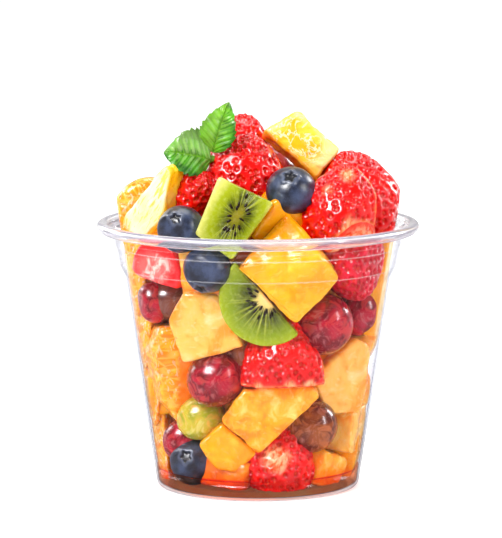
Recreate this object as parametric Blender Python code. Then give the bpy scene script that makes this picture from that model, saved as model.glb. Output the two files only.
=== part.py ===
"""A clear plastic cup heaped with cut fruit, with a mint sprig on top.

The cup stands on z = 0 with its axis on z, and its front faces -y. Sizes are in millimetres
times MM, so everything is in metres. The fruit inside the cup is one heap, and each piece
that stands above it is a piece of its own.
"""

import math
import random

import bmesh
import bpy
import numpy as np
from mathutils import Euler, Matrix, Vector

MM = 0.001

# The cup's driving sizes
RIM_RADIUS = 49.0 * MM
RIM_HEIGHT = 81.0 * MM
BEAD_WIDTH = 3.6 * MM
BEAD_HEIGHT = 3.3 * MM
BASE_RADIUS = 30.8 * MM
BASE_CORNER = 1.4 * MM
WALL = 0.5 * MM
FLOOR_RAISED = 1.6 * MM
FOOT_INNER = 27.0 * MM
FOOT_OUTER = 29.4 * MM
TAPER_TOP_RADIUS = 40.45 * MM
TAPER_TOP_HEIGHT = 64.4 * MM
CUP_SIDES = 52
BEAD_ANGLES = [-125, -85, -40, 0, 35, 70, 105, 140, 180]

# How far each band of the stacking steps stands out, going up: (radius, height)
STACKING_STEPS = [
    (41.0 * MM, 65.5 * MM),
    (42.1 * MM, 67.6 * MM),
    (42.9 * MM, 72.2 * MM),
    (43.5 * MM, 73.6 * MM),
    (44.05 * MM, 77.0 * MM),
]

# The room that the fruit has: a plain cone inside the wall, standing on the cup's floor.
# Each piece keeps its own gap to the wall, so that no two lie in one surface.
FRUIT_GAP = 0.35 * MM
GAP_STEP = 0.02 * MM
TAPER = (TAPER_TOP_RADIUS - BASE_RADIUS) / (TAPER_TOP_HEIGHT - BASE_CORNER)

# The gap that is left between two pieces that press on each other
CONTACT_GAP = 0.3 * MM
PRESS_DIRECTIONS = 400

# Colours of the materials: (red, green, blue), roughness
FINISHES = {
    "clear_plastic": ((0.86, 0.90, 0.92), 0.05),
    "strawberry": ((0.78, 0.03, 0.02), 0.25),
    "blueberry": ((0.05, 0.07, 0.16), 0.45),
    "grape": ((0.30, 0.03, 0.06), 0.2),
    "kiwi": ((0.42, 0.55, 0.08), 0.3),
    "mango": ((0.95, 0.52, 0.04), 0.3),
    "melon": ((0.93, 0.42, 0.10), 0.3),
    "pineapple": ((0.95, 0.75, 0.22), 0.35),
    "orange": ((0.96, 0.45, 0.02), 0.25),
    "mint": ((0.12, 0.42, 0.06), 0.35),
    "mixed_fruit": ((0.90, 0.38, 0.08), 0.3),
}


def clear_scene():
    for obj in list(bpy.data.objects):
        bpy.data.objects.remove(obj, do_unlink=True)


def finish(name):
    """The material of that name, made the first time that it is asked for."""
    known = bpy.data.materials.get(name)
    if known:
        return known
    colour, roughness = FINISHES[name]
    material = bpy.data.materials.new(name)
    material.use_nodes = True
    surface = material.node_tree.nodes["Principled BSDF"]
    surface.inputs["Base Color"].default_value = (*colour, 1.0)
    surface.inputs["Roughness"].default_value = roughness
    surface.inputs["Metallic"].default_value = 0.0
    if name == "clear_plastic":
        surface.inputs["Transmission Weight"].default_value = 0.9
    return material


def add_object(name, bm, finish_name, smooth_angle=math.radians(40)):
    """Turns a bmesh into an object of the scene."""
    bmesh.ops.recalc_face_normals(bm, faces=bm.faces)
    mesh = bpy.data.meshes.new(name)
    bm.to_mesh(mesh)
    bm.free()
    mesh.materials.append(finish(finish_name))
    mesh.shade_smooth()
    mesh.set_sharp_from_angle(angle=smooth_angle)
    obj = bpy.data.objects.new(name, mesh)
    bpy.context.scene.collection.objects.link(obj)
    return obj


# The cup


def cup_outside():
    """The cup's outer line as (radius, height), from the middle of the base up to the bead."""
    line = [
        (0.0, FLOOR_RAISED),
        (FOOT_INNER - 2.2 * MM, FLOOR_RAISED),
        (FOOT_INNER - 0.8 * MM, 0.5 * MM),
        (FOOT_INNER, 0.0),
        (FOOT_OUTER, 0.0),
        (FOOT_OUTER + 0.9 * MM, 0.4 * MM),
        (BASE_RADIUS, BASE_CORNER),
        (TAPER_TOP_RADIUS, TAPER_TOP_HEIGHT),
    ]
    return line + STACKING_STEPS


def bead():
    """The rolled bead, from its outer foot over the top to its inner edge."""
    middle = (RIM_RADIUS - BEAD_WIDTH / 2, RIM_HEIGHT - BEAD_HEIGHT / 2)
    angles = [math.radians(degrees) for degrees in BEAD_ANGLES]
    return [
        (
            middle[0] + BEAD_WIDTH / 2 * math.cos(angle),
            middle[1] + BEAD_HEIGHT / 2 * math.sin(angle),
        )
        for angle in angles
    ]


def cup_inside():
    """The cup's inner line, from under the bead down to the middle of the floor."""
    wall = [(radius - WALL, height) for radius, height in reversed(cup_outside()[6:])]
    floor = FLOOR_RAISED + WALL
    return wall + [
        (FOOT_OUTER - 0.3 * MM, 0.8 * MM),
        (FOOT_INNER + 0.2 * MM, 0.6 * MM),
        (FOOT_INNER - 1.8 * MM, floor),
        (0.0, floor),
    ]


def make_cup():
    bm = bmesh.new()
    line = cup_outside() + bead() + cup_inside()
    corners = [bm.verts.new((radius, 0.0, height)) for radius, height in line]
    edges = [bm.edges.new(pair) for pair in zip(corners, corners[1:])]
    bmesh.ops.spin(
        bm,
        geom=corners + edges,
        axis=(0, 0, 1),
        cent=(0, 0, 0),
        angle=2 * math.pi,
        steps=CUP_SIDES,
        use_merge=True,
    )
    bmesh.ops.remove_doubles(bm, verts=bm.verts, dist=0.001 * MM)
    return add_object("cup", bm, "clear_plastic", math.radians(25))


# The shapes of the fruit. Each is made at the origin, and its size is in metres.


def cut_away(bm, point, normal):
    """Cuts off what lies on the side that normal points to, and closes the cut."""
    bmesh.ops.bisect_plane(
        bm,
        geom=bm.verts[:] + bm.edges[:] + bm.faces[:],
        plane_co=point,
        plane_no=normal,
        clear_outer=True,
    )
    bmesh.ops.holes_fill(bm, edges=[e for e in bm.edges if e.is_boundary])


def strawberry(radius, length, sides=14, rings=10, point=0.0, cuts=()):
    """A hulled strawberry, its tip at +z. Each cut takes off one side: (point in mm, normal)."""
    bm = bmesh.new()
    bmesh.ops.create_uvsphere(bm, u_segments=sides, v_segments=rings, radius=1.0)
    for v in bm.verts:
        height = v.co.z
        round_width = math.sqrt(max(1.0 - height * height, 0.0))
        width = radius * (1.0 - 0.27 * height - 0.06 * height * height)
        if height > 0:
            width *= round_width ** (2 * point)
        v.co = (v.co.x * width, v.co.y * width, max(height, -0.86) * length / 2)
    for place, normal in cuts:
        cut_away(bm, Vector(place) * MM, Vector(normal))
    return bm


def berry(radius, stretch=1.0, sides=14, rings=9, crown=0.0):
    """A blueberry or a grape, its crown or stalk end at +z."""
    bm = bmesh.new()
    bmesh.ops.create_uvsphere(bm, u_segments=sides, v_segments=rings, radius=radius)
    for v in bm.verts:
        v.co.z *= stretch
        if v.co.z > radius * stretch * 0.99:
            v.co.z -= crown
    return bm


def block(width, depth, height, seed, rounding=1.6 * MM, segments=2, skew=0.07):
    """A hand-cut chunk of soft fruit: a box with uneven corners and rounded edges."""
    bm = bmesh.new()
    bmesh.ops.create_cube(bm, size=1.0)
    uneven = random.Random(seed)
    for v in bm.verts:
        v.co.x = v.co.x * width + uneven.uniform(-skew, skew) * width
        v.co.y = v.co.y * depth + uneven.uniform(-skew, skew) * depth
        v.co.z = v.co.z * height + uneven.uniform(-skew, skew) * height
    round_edges(bm, bm.edges[:], rounding, segments)
    return bm


def round_edges(bm, edges, rounding, segments):
    bmesh.ops.bevel(
        bm,
        geom=edges,
        offset=rounding,
        segments=segments,
        profile=0.5,
        affect="EDGES",
        material=-1,
    )


def slab(outline, depth, rounding=1.2 * MM, segments=2, cuts=()):
    """A cut piece with a flat face at -y. Its outline is in mm, as (x, z) seen from the front."""
    bm = bmesh.new()
    front = [bm.verts.new((x * MM, -depth / 2, z * MM)) for x, z in outline]
    face = bm.faces.new(front)
    moved = bmesh.ops.extrude_face_region(bm, geom=[face])["geom"]
    for v in moved:
        if isinstance(v, bmesh.types.BMVert):
            v.co.y = depth / 2
    bmesh.ops.recalc_face_normals(bm, faces=bm.faces)
    for place, normal in cuts:
        cut_away(bm, Vector(place) * MM, Vector(normal))
    bmesh.ops.recalc_face_normals(bm, faces=bm.faces)
    round_edges(bm, bm.edges[:], rounding, segments)
    return bm


def kiwi_half(radius, thickness, sides=28, rounding=0.9 * MM):
    """Half a slice of kiwi, its straight side along x and its round side at -z."""
    bm = bmesh.new()
    bmesh.ops.create_cone(
        bm,
        cap_ends=True,
        segments=sides,
        radius1=radius,
        radius2=radius,
        depth=thickness,
        matrix=Matrix.Rotation(math.radians(90), 4, "X"),
    )
    cut_away(bm, (0, 0, 0), (0, 0, 1))
    bmesh.ops.recalc_face_normals(bm, faces=bm.faces)
    if rounding:
        rim = [e for e in bm.edges if e.is_manifold and e.calc_face_angle() > math.radians(50)]
        round_edges(bm, rim, rounding, 1)
    return bm


def segment(length, depth, thickness, sides=12, rings=8):
    """A peeled orange segment: its round back at -x, its thin inner edge at +x, its ends at z."""
    bend = 0.42
    bm = bmesh.new()
    bmesh.ops.create_uvsphere(bm, u_segments=sides, v_segments=rings, radius=1.0)
    for v in bm.verts:
        x, y, z = v.co
        thin = 1.0 - 0.4 * (x + 1.0)
        v.co = (
            (x + bend * z * z) * depth / 2,
            y * thin * thickness / 2,
            z * length / 2,
        )
    return bm


# How a piece is set in its place


def placed(bm, at, turn=0.0, tilt=0.0, roll=0.0):
    """Turns a piece about z, leans it about x, rolls it about y, and moves it to a place in mm."""
    angles = Euler([math.radians(tilt), math.radians(roll), math.radians(turn)], "ZXY")
    matrix = Matrix.Translation(Vector(at) * MM) @ angles.to_matrix().to_4x4()
    bmesh.ops.transform(bm, matrix=matrix, verts=bm.verts)
    return bm


def against_wall(bearing, height, inset):
    """A place in mm, from its bearing round the cup, its height and its depth in from the wall."""
    radius = (BASE_RADIUS - WALL) / MM + TAPER * height - inset
    angle = math.radians(bearing)
    return (radius * math.sin(angle), -radius * math.cos(angle), height)


def points_of(bm):
    return np.array([v.co for v in bm.verts])


def keep_in_cup(bm, gap):
    """Moves a piece's points inside the cone of the wall, and above the cup's floor."""
    for v in bm.verts:
        v.co.z = max(v.co.z, FLOOR_RAISED + WALL + gap)
        most = BASE_RADIUS - WALL - gap + TAPER * (v.co.z - BASE_CORNER)
        v.co.xy *= min(1.0, most / max(v.co.xy.length, 1e-9))


def sphere_directions(count):
    """Directions spread evenly over a sphere."""
    steps = np.arange(count) + 0.5
    up = 1 - 2 * steps / count
    turn = steps * math.pi * (3 - math.sqrt(5))
    flat = np.sqrt(1 - up * up)
    return np.stack([flat * np.cos(turn), flat * np.sin(turn), up], axis=1)


def parting_plane(first, second, directions):
    """The plane on the first piece that parts it best from the second, or None if they are apart."""
    towards = second.mean(axis=0) - first.mean(axis=0)
    towards /= np.linalg.norm(towards)
    tried = np.vstack([towards, directions[directions @ towards > 0.3]])
    reach = (first @ tried.T).max(axis=0)
    start = (second @ tried.T).min(axis=0)
    least = int(np.argmin(reach - start))
    if reach[least] - start[least] < -CONTACT_GAP:
        return None
    return tried[least], reach[least]


def press_together(pieces, groups):
    """Cuts each piece flat where it meets an earlier one, unless both are to be fused."""
    directions = sphere_directions(PRESS_DIRECTIONS)
    names = list(pieces)
    for number, name in enumerate(names):
        keep_in_cup(pieces[name], FRUIT_GAP + GAP_STEP * number)
    for index, first in enumerate(names):
        for second in names[index + 1 :]:
            if any(first in group and second in group for group in groups):
                continue
            shared = parting_plane(points_of(pieces[first]), points_of(pieces[second]), directions)
            if shared:
                normal, offset = shared
                cut_away(pieces[second], normal * (offset + CONTACT_GAP), -normal)


# The heap that fills the cup


CORE_INSET = 12.5 * MM
CORE_HEIGHTS = [3.5 * MM, 30.0 * MM, 54.0 * MM, 72.0 * MM]
CORE_TOP = 79.0 * MM


def heap_core():
    """What lies behind the pieces that show: a plain body with a low dome."""
    line = [(0.0, CORE_HEIGHTS[0])]
    line += [(BASE_RADIUS - WALL + TAPER * height - CORE_INSET, height) for height in CORE_HEIGHTS]
    line += [(line[-1][0] * 0.7, CORE_TOP - 1.5 * MM), (0.0, CORE_TOP)]
    bm = bmesh.new()
    corners = [bm.verts.new((radius, 0.0, height)) for radius, height in line]
    edges = [bm.edges.new(pair) for pair in zip(corners, corners[1:])]
    bmesh.ops.spin(
        bm,
        geom=corners + edges,
        axis=(0, 0, 1),
        cent=(0, 0, 0),
        angle=2 * math.pi,
        steps=20,
        use_merge=True,
    )
    bmesh.ops.remove_doubles(bm, verts=bm.verts, dist=0.001 * MM)
    return bm


HALF_BERRY = [(-5.4, 6.3), (6.0, 6.0), (9.0, -0.3), (7.8, -5.7), (-3.0, -3.6), (-8.7, -1.5)]
PINEAPPLE_MID = [(-6.8, 8.6), (-11.3, -0.6), (-7.1, -13.0), (11.6, -7.7), (3.9, 8.0)]
PINEAPPLE_LOW = [
    (2.7, 12.1),
    (7.0, 10.3),
    (8.5, 5.0),
    (8.0, -5.0),
    (4.5, -11.5),
    (-7.0, -10.5),
    (-11.6, 1.0),
]
ORANGE_LOW = [
    (-4.2, 14.4),
    (1.0, 14.4),
    (6.0, 5.0),
    (7.6, -2.0),
    (5.6, -9.4),
    (1.5, -15.4),
    (-4.6, -6.5),
    (-7.4, 5.5),
]
MANGO_SLAB = [(-8.0, 9.8), (12.5, 10.7), (14.8, 7.4), (-3.3, -9.8), (-14.5, 0.3)]
MANGO_LOW = [(-1.9, 4.7), (-9.0, -1.8), (-3.1, -9.5), (1.9, -10.4), (9.1, -4.7)]
BERRY_MID_CUT = [((0, 0, -4.5), (0, 0, -1))]


# The pieces of the heap have fewer faces than those above it. Their sizes are in mm.


def heap_block(width, depth, height, seed):
    return block(width * MM, depth * MM, height * MM, seed, segments=1)


def heap_slab(outline, depth):
    return slab(outline, depth * MM, segments=1)


def heap_segment(length, depth, thickness):
    return segment(length * MM, depth * MM, thickness * MM)


def heap_berry(radius, stretch=1.0, crown=0.0, sides=11, rings=7):
    return berry(radius * MM, stretch, sides, rings, crown * MM)


def heap_strawberry(radius, length, sides=11, rings=7, cuts=()):
    return strawberry(radius * MM, length * MM, sides, rings, cuts=cuts)


def front_of_heap():
    """The pieces that show through the front of the cup, from the top down."""
    return {
        "melon_mid": placed(heap_block(17, 12, 15, 35), (5.6, -17.0, 81.5), 20, 10, 30),
        "mango_under": placed(heap_block(15, 14, 14, 17), (-23.5, -12.5, 78.0), -35),
        "mango_behind": placed(heap_block(17, 14, 17, 23), (-13.5, -20.5, 67.0), -20),
        "half_berry_left": placed(heap_slab(HALF_BERRY, 9), (-29.0, -15.5, 69.1), -35),
        "orange_top_left": placed(heap_segment(28, 16, 15), (-36.2, -3.5, 67.5), -70, 0, 8),
        "blueberry_high": placed(heap_berry(7.2, crown=0.6), (-15.0, -31.0, 70.2), 0, 150, 20),
        "berry_right": placed(heap_strawberry(10.6, 21), (28.4, -17.5, 69.2), 0, 20, 170),
        "pineapple_right": placed(heap_block(13, 13, 30, 3), (36.0, -5.0, 63.0), 80, 0, 8),
        "kiwi_slice": placed(kiwi_half(13.9 * MM, 8 * MM, sides=22), (2.6, -29.5, 60.9), 0, 0, 49),
        "grape_left": placed(heap_berry(6.4, 1.15), (-29.5, -12.3, 57.7), 0, 0, 80),
        "pineapple_mid": placed(heap_slab(PINEAPPLE_MID, 13), (-14.6, -22.5, 54.4), -10),
        "grape_right": placed(heap_berry(8.9, 1.06), (19.5, -21.0, 52.3), 0, 0, 30),
        "grape_far_right": placed(heap_berry(6.8, 1.12), (30.8, -8.0, 54.3), 0, 0, 10),
        "orange_edge_left": placed(heap_segment(27, 16, 15), (-33.8, -3.0, 50.0), -80, 0, 6),
        "grape_mid": placed(heap_berry(8.5, 1.03), (-12.7, -23.3, 36.2), 0, 0, 40),
        "grape_behind": placed(heap_berry(6.5, 1.1), (-5.5, -20.0, 44.5), 0, 0, 20),
        "berry_mid": placed(heap_strawberry(12.6, 34, cuts=BERRY_MID_CUT), (7.2, -25.0, 39.7)),
        "orange_low": placed(heap_slab(ORANGE_LOW, 12), (-26.5, -11.5, 36.5), 12),
        "pineapple_low": placed(heap_slab(PINEAPPLE_LOW, 12), (24.5, -9.5, 35.1), 25),
        "mango_slab": placed(heap_slab(MANGO_SLAB, 12), (3.6, -24.2, 24.1)),
        "green_grape": placed(heap_berry(7.2, 1.15), (-17.8, -18.3, 22.6), 0, 0, 60),
        "mango_low": placed(heap_slab(MANGO_LOW, 10), (-8.9, -20.6, 18.2)),
        "grape_low_left": placed(heap_berry(6.0, 1.1), (-23.6, -8.5, 15.0), 0, 0, 20),
        "grape_low_right": placed(heap_berry(8.2, 1.05), (15.6, -17.5, 20.8), 0, 0, 70),
        "blueberry_low": placed(heap_berry(7.1, crown=0.6), (-19.6, -13.6, 9.2), 0, 50, -50),
        "orange_bottom": placed(heap_block(15, 10, 9, 13), (-8.8, -19.5, 6.4), -20, 0, 8),
        "berry_bottom": placed(heap_strawberry(10.8, 21), (5.4, -18.3, 10.2), 0, 10, 14),
        "melon_bottom": placed(heap_block(13, 11, 11, 19), (18.5, -13.0, 8.2), 52),
        "melon_low_right": placed(heap_block(14, 11, 14, 15), (26.5, -8.0, 18.6), 70, 0, 5),
        "orange_low_left": placed(heap_segment(26, 14, 13), (-28.6, -1.5, 14.0), -85, 0, -5),
    }


BACK_ROWS = [11.0, 29.0, 47.0, 65.0]
BACK_BEARINGS = [118, 149, 180, 211, 242]
BACK_KINDS = ["mango", "strawberry", "grape", "pineapple", "kiwi", "orange", "blueberry", "melon"]
BACK_INSET = 6.8


def back_piece(kind, seed):
    if kind == "strawberry":
        return heap_strawberry(9.5, 20, 10, 6)
    if kind == "grape":
        return heap_berry(7.6, 1.1, 0.0, 10, 6)
    if kind == "blueberry":
        return heap_berry(7.2, 1.0, 0.6, 10, 6)
    if kind == "kiwi":
        return kiwi_half(13 * MM, 9 * MM, sides=16, rounding=0)
    if kind == "orange":
        return segment(23 * MM, 13 * MM, 12 * MM, 10, 6)
    return heap_block(15, 13, 14, seed)


def back_of_heap():
    """The sides and back that the front view doesn't show: the same fruit in staggered rows."""
    uneven = random.Random(21)
    pieces = {}
    for row, height in enumerate(BACK_ROWS):
        for column, bearing in enumerate(BACK_BEARINGS):
            number = row * len(BACK_BEARINGS) + column
            kind = BACK_KINDS[(number * 3 + row) % len(BACK_KINDS)]
            at = against_wall(bearing + 14 * (row % 2) - 7, height, BACK_INSET)
            turn = bearing + uneven.uniform(-15, 15)
            roll = uneven.uniform(-50, 50)
            pieces[f"back_{number}"] = placed(back_piece(kind, number), at, turn, 0, roll)
    return pieces


def fuse(name, bodies, finish_name):
    """Joins overlapping bodies into one solid with a single union."""
    joined = bpy.data.collections.new(name + "_pieces")
    bpy.context.scene.collection.children.link(joined)
    parts = [add_object(f"{name}_{number}", bm, finish_name) for number, bm in enumerate(bodies)]
    first, *others = parts
    for other in others:
        bpy.context.scene.collection.objects.unlink(other)
        joined.objects.link(other)
    union = first.modifiers.new("union", "BOOLEAN")
    union.operation = "UNION"
    union.operand_type = "COLLECTION"
    union.collection = joined
    union.solver = "EXACT"
    graph = bpy.context.evaluated_depsgraph_get()
    mesh = bpy.data.meshes.new_from_object(first.evaluated_get(graph))
    for body in [first, *others]:
        bpy.data.objects.remove(body, do_unlink=True)
    bpy.data.collections.remove(joined)
    mesh.materials.clear()
    mesh.materials.append(finish(finish_name))
    mesh.shade_smooth()
    mesh.set_sharp_from_angle(angle=math.radians(40))
    obj = bpy.data.objects.new(name, mesh)
    bpy.context.scene.collection.objects.link(obj)
    return obj


# The pieces that stand above the heap


WEDGE = [(6.3, 12.5), (8.4, 10.7), (5.2, -3.4), (-0.6, -9.3), (-4.6, -9.0), (-12.3, -7.2)]
KIWI_CUBE = [(-3.6, 12.1), (9.9, 4.1), (1.6, -8.6), (-2.8, -11.8), (-11.1, -4.9)]
MANGO_CUBE = [(-0.4, 16.4), (6.5, 8.4), (15.1, -3.1), (1.95, -16.4), (-14.9, 0.65)]
MANGO_FACET = [((-14.9, -7.5, 0.65), (-0.10, -0.82, 0.56))]
PINEAPPLE_TOP = [(-3.1, 8.2), (10.9, -2.3), (0.7, -8.9), (-8.5, 2.9)]
BERRY_CUTS = [((6.5, -1.0, 0.0), (0.62, 0.78, 0.05)), ((2.5, -11.5, -4.0), (0.45, -0.60, -0.65))]


def top_pieces():
    """The pieces above the rim, by name: the finish and the body in place of each. An earlier one
    keeps its shape where two meet."""
    crown = 0.7 * MM
    return {
        "blueberry_left": (
            "blueberry",
            placed(berry(7.1 * MM, crown=crown), (-22.8, -29.6, 81.9), 0, 50, -25),
        ),
        "blueberry_top": (
            "blueberry",
            placed(berry(7.6 * MM, crown=crown), (9.8, -22.5, 92.4), 0, 45, -4),
        ),
        "kiwi_cube": (
            "kiwi",
            placed(slab(KIWI_CUBE, 12 * MM, 0.9 * MM), (-6.6, -30.4, 85.4), -12),
        ),
        "mango_front": (
            "mango",
            placed(slab(MANGO_CUBE, 15 * MM, 1.5 * MM, cuts=MANGO_FACET), (9.3, -28.6, 70.6)),
        ),
        "strawberry_centre": (
            "strawberry",
            placed(strawberry(12.7 * MM, 26 * MM), (-4.3, -7.5, 95.8), 0, 10, 5),
        ),
        "strawberry_cut": (
            "strawberry",
            placed(
                strawberry(12.6 * MM, 29 * MM, point=0.25, cuts=BERRY_CUTS),
                (25.4, -21.0, 87.2),
                0,
                6,
                4,
            ),
        ),
        "pineapple_wedge": (
            "pineapple",
            placed(slab(WEDGE, 12 * MM, 1.0 * MM), (-29.4, -14.4, 87.9), -35),
        ),
        "strawberry_right": (
            "strawberry",
            placed(strawberry(12.8 * MM, 30 * MM), (30.1, -1.5, 88.2), 0, -6, -17),
        ),
        "pineapple_top": (
            "pineapple",
            placed(slab(PINEAPPLE_TOP, 13 * MM, 1.2 * MM), (11.4, 3.4, 104.2), 30, -18),
        ),
        "strawberry_small": (
            "strawberry",
            placed(strawberry(7.8 * MM, 18 * MM, 12, 9), (-18.4, -14.5, 91.2), 0, -56, 213),
        ),
        "orange_left": (
            "orange",
            placed(segment(25 * MM, 17 * MM, 12 * MM), (-34.9, -2.0, 85.0), 0, 0, 40),
        ),
        "strawberry_back": (
            "strawberry",
            placed(strawberry(9.6 * MM, 23 * MM), (-4.8, 12.5, 101.6), 0, -15, 4),
        ),
        "mango_left": (
            "mango",
            placed(block(15 * MM, 14 * MM, 14 * MM, 39), (-18.0, 3.5, 88.5), 25, 10, 20),
        ),
        "mango_back_right": (
            "mango",
            placed(block(16 * MM, 14 * MM, 14 * MM, 45), (23.0, 14.5, 90.5), 35, -10, 15),
        ),
        "strawberry_low_back": (
            "strawberry",
            placed(strawberry(10.5 * MM, 23 * MM), (11.5, 28.0, 88.5), 0, -40, 15),
        ),
        "pineapple_back": (
            "pineapple",
            placed(block(16 * MM, 14 * MM, 13 * MM, 43), (-15.5, 17.5, 94.5), 30, -25, -15),
        ),
        "grape_back": (
            "grape",
            placed(berry(8.2 * MM, 1.12), (-5.5, 33.5, 85.0), 0, 20, 70),
        ),
        "blueberry_back_left": (
            "blueberry",
            placed(berry(7.2 * MM, crown=crown), (-34.0, 14.5, 82.5), 0, -30, -30),
        ),
        "kiwi_back": (
            "kiwi",
            placed(block(15 * MM, 12 * MM, 15 * MM, 41, 1.0 * MM), (-21.5, 26.5, 84.5), 40, -12, -20),
        ),
        "orange_back_right": (
            "orange",
            placed(segment(24 * MM, 15 * MM, 12 * MM), (28.5, 26.0, 83.5), 160, 0, 60),
        ),
        "blueberry_back_right": (
            "blueberry",
            placed(berry(7.2 * MM, crown=crown), (37.0, 13.8, 83.5), 0, -20, 40),
        ),
        "grape_top": (
            "grape",
            placed(berry(8.0 * MM, 1.1), (4.0, 17.0, 94.0), 0, 30, -60),
        ),
    }


# The mint sprig: two leaves that grow from one knot on a short stalk

LEAF_THICKNESS = 0.6 * MM
LEAF_ROWS = 8
LEAF_COLUMNS = 4


def leaf(length, width, base, tip, facing, fold=0.35, bow=0.16):
    """A thin wavy leaf from base to tip, both in mm. facing is the way its upper side looks."""
    start, end = Vector(base) * MM, Vector(tip) * MM
    along = (end - start).normalized()
    across = along.cross(Vector(facing)).normalized()
    out = across.cross(along).normalized()
    bm = bmesh.new()
    rows = []
    for row in range(LEAF_ROWS + 1):
        share = row / LEAF_ROWS
        half = width / 2 * max(math.sin(math.pi * share**0.75) ** 0.8, 0.09)
        corners = []
        for column in range(LEAF_COLUMNS + 1):
            side = 2 * column / LEAF_COLUMNS - 1
            rise = fold * half * abs(side) + 0.35 * MM * math.sin(9 * share + 2 * side)
            rise += bow * length * math.sin(math.pi * share)
            place = start + along * length * share + across * half * side + out * rise
            corners.append(bm.verts.new(place))
        rows.append(corners)
    for lower, upper in zip(rows, rows[1:]):
        for column in range(LEAF_COLUMNS):
            near, far = lower[column : column + 2], upper[column : column + 2]
            bm.faces.new((near[0], near[1], far[1]))
            bm.faces.new((near[0], far[1], far[0]))
    bmesh.ops.recalc_face_normals(bm, faces=bm.faces)
    bmesh.ops.solidify(bm, geom=bm.faces[:], thickness=LEAF_THICKNESS)
    return bm


def stalk(base, top, base_radius, top_radius):
    start, end = Vector(base) * MM, Vector(top) * MM
    matrix = Matrix.Translation((start + end) / 2)
    matrix @= (end - start).to_track_quat("Z", "Y").to_matrix().to_4x4()
    bm = bmesh.new()
    bmesh.ops.create_cone(
        bm,
        cap_ends=True,
        segments=8,
        radius1=base_radius,
        radius2=top_radius,
        depth=(end - start).length,
        matrix=matrix,
    )
    return bm


def mint_parts():
    knot = (-13.8, -13.4, 101.3)
    ball = bmesh.new()
    bmesh.ops.create_icosphere(ball, subdivisions=2, radius=1.8 * MM)
    return {
        "mint_knot": placed(ball, knot),
        "mint_stalk": stalk((-18.8, -8.6, 98.4), knot, 1.1 * MM, 1.1 * MM),
        "mint_leaf_left": leaf(
            14.2 * MM, 16.2 * MM, (-14.3, -13.9, 100.5), (-28.3, -14.5, 103.0), (0.1, -0.9, 0.45)
        ),
        "mint_leaf_right": leaf(
            15.8 * MM, 11.5 * MM, (-13.4, -13.5, 103.0), (-8.6, -12.5, 118.2), (-0.1, -1.0, 0.15)
        ),
    }


def main():
    clear_scene()
    make_cup()
    mint = mint_parts()
    tops = top_pieces()
    heap = {**front_of_heap(), **back_of_heap(), "core": heap_core()}
    pieces = {**mint, **{name: body for name, (_, body) in tops.items()}, **heap}
    press_together(pieces, [set(mint), set(heap)])
    fuse("fruit_heap", list(heap.values()), "mixed_fruit")
    fuse("mint_sprig", list(mint.values()), "mint")
    for name, (finish_name, body) in tops.items():
        add_object(name, body, finish_name)


main()
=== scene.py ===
"""A clear plastic cup heaped with cut fruit, with a mint sprig on top, dressed around its solid model.

The cup stands on the floor with its axis on z, and its front faces -y. Everything is in metres, so the
places and sizes of the fruit, which are in millimetres, are taken times MM.
"""

import math
import random

import bmesh
import bpy
import numpy as np
from mathutils import Euler, Matrix, Vector


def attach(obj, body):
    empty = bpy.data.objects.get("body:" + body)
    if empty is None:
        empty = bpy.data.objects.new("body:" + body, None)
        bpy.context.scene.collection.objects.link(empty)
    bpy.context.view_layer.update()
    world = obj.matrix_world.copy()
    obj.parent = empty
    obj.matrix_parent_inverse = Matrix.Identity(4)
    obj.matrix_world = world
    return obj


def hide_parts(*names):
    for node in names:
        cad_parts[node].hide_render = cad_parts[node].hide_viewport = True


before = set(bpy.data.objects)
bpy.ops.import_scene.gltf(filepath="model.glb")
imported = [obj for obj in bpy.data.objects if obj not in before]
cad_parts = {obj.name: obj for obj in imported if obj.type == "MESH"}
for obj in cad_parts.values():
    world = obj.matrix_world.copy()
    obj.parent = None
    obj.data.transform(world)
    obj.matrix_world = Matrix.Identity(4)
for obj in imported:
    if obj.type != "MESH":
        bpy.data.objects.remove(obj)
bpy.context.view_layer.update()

MM = 0.001

# The studio: a white floor, white surroundings, soft boxes, and panels that only glossy surfaces
# mirror. The camera looks slightly down at the cup from far off, so the rim is a narrow ellipse.

PICTURE_WIDTH = 502
FOCAL_PIXELS = 3988
SENSOR_MM = 36.0
CAMERA_AT = Vector((-0.0021, -1.2, 0.2264))
CAMERA_AIM = Vector((-0.0021, 0.0, 0.0661))

scene = bpy.context.scene
scene.view_settings.view_transform = "Standard"
scene.view_settings.look = "None"
scene.view_settings.exposure = 0.0

camera_data = bpy.data.cameras.new("camera")
camera_data.sensor_fit = "HORIZONTAL"
camera_data.sensor_width = SENSOR_MM
camera_data.lens = FOCAL_PIXELS * SENSOR_MM / PICTURE_WIDTH
camera = bpy.data.objects.new("camera", camera_data)
camera.location = CAMERA_AT
camera.rotation_euler = (CAMERA_AIM - CAMERA_AT).to_track_quat("-Z", "Y").to_euler()
scene.collection.objects.link(camera)
scene.camera = camera


def linear(colour):
    """A colour as it looks on a screen, 0 to 255, turned into the renderer's linear values."""
    parts = [value / 255 for value in colour]
    return tuple(p / 12.92 if p <= 0.04045 else ((p + 0.055) / 1.055) ** 2.4 for p in parts)


class Wire:
    """One output of a node. Sums, products and powers of wires add the Math nodes for them."""

    def __init__(self, paint, socket):
        self.paint = paint
        self.socket = socket

    def worked(self, operation, first, second):
        return self.paint.node("Math", {"operation": operation}, {0: first, 1: second})

    def __add__(self, other):
        return self.worked("ADD", self, other)

    def __radd__(self, other):
        return self.worked("ADD", other, self)

    def __sub__(self, other):
        return self.worked("SUBTRACT", self, other)

    def __rsub__(self, other):
        return self.worked("SUBTRACT", other, self)

    def __mul__(self, other):
        return self.worked("MULTIPLY", self, other)

    def __rmul__(self, other):
        return self.worked("MULTIPLY", other, self)

    def __pow__(self, other):
        return self.worked("POWER", self, other)


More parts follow.
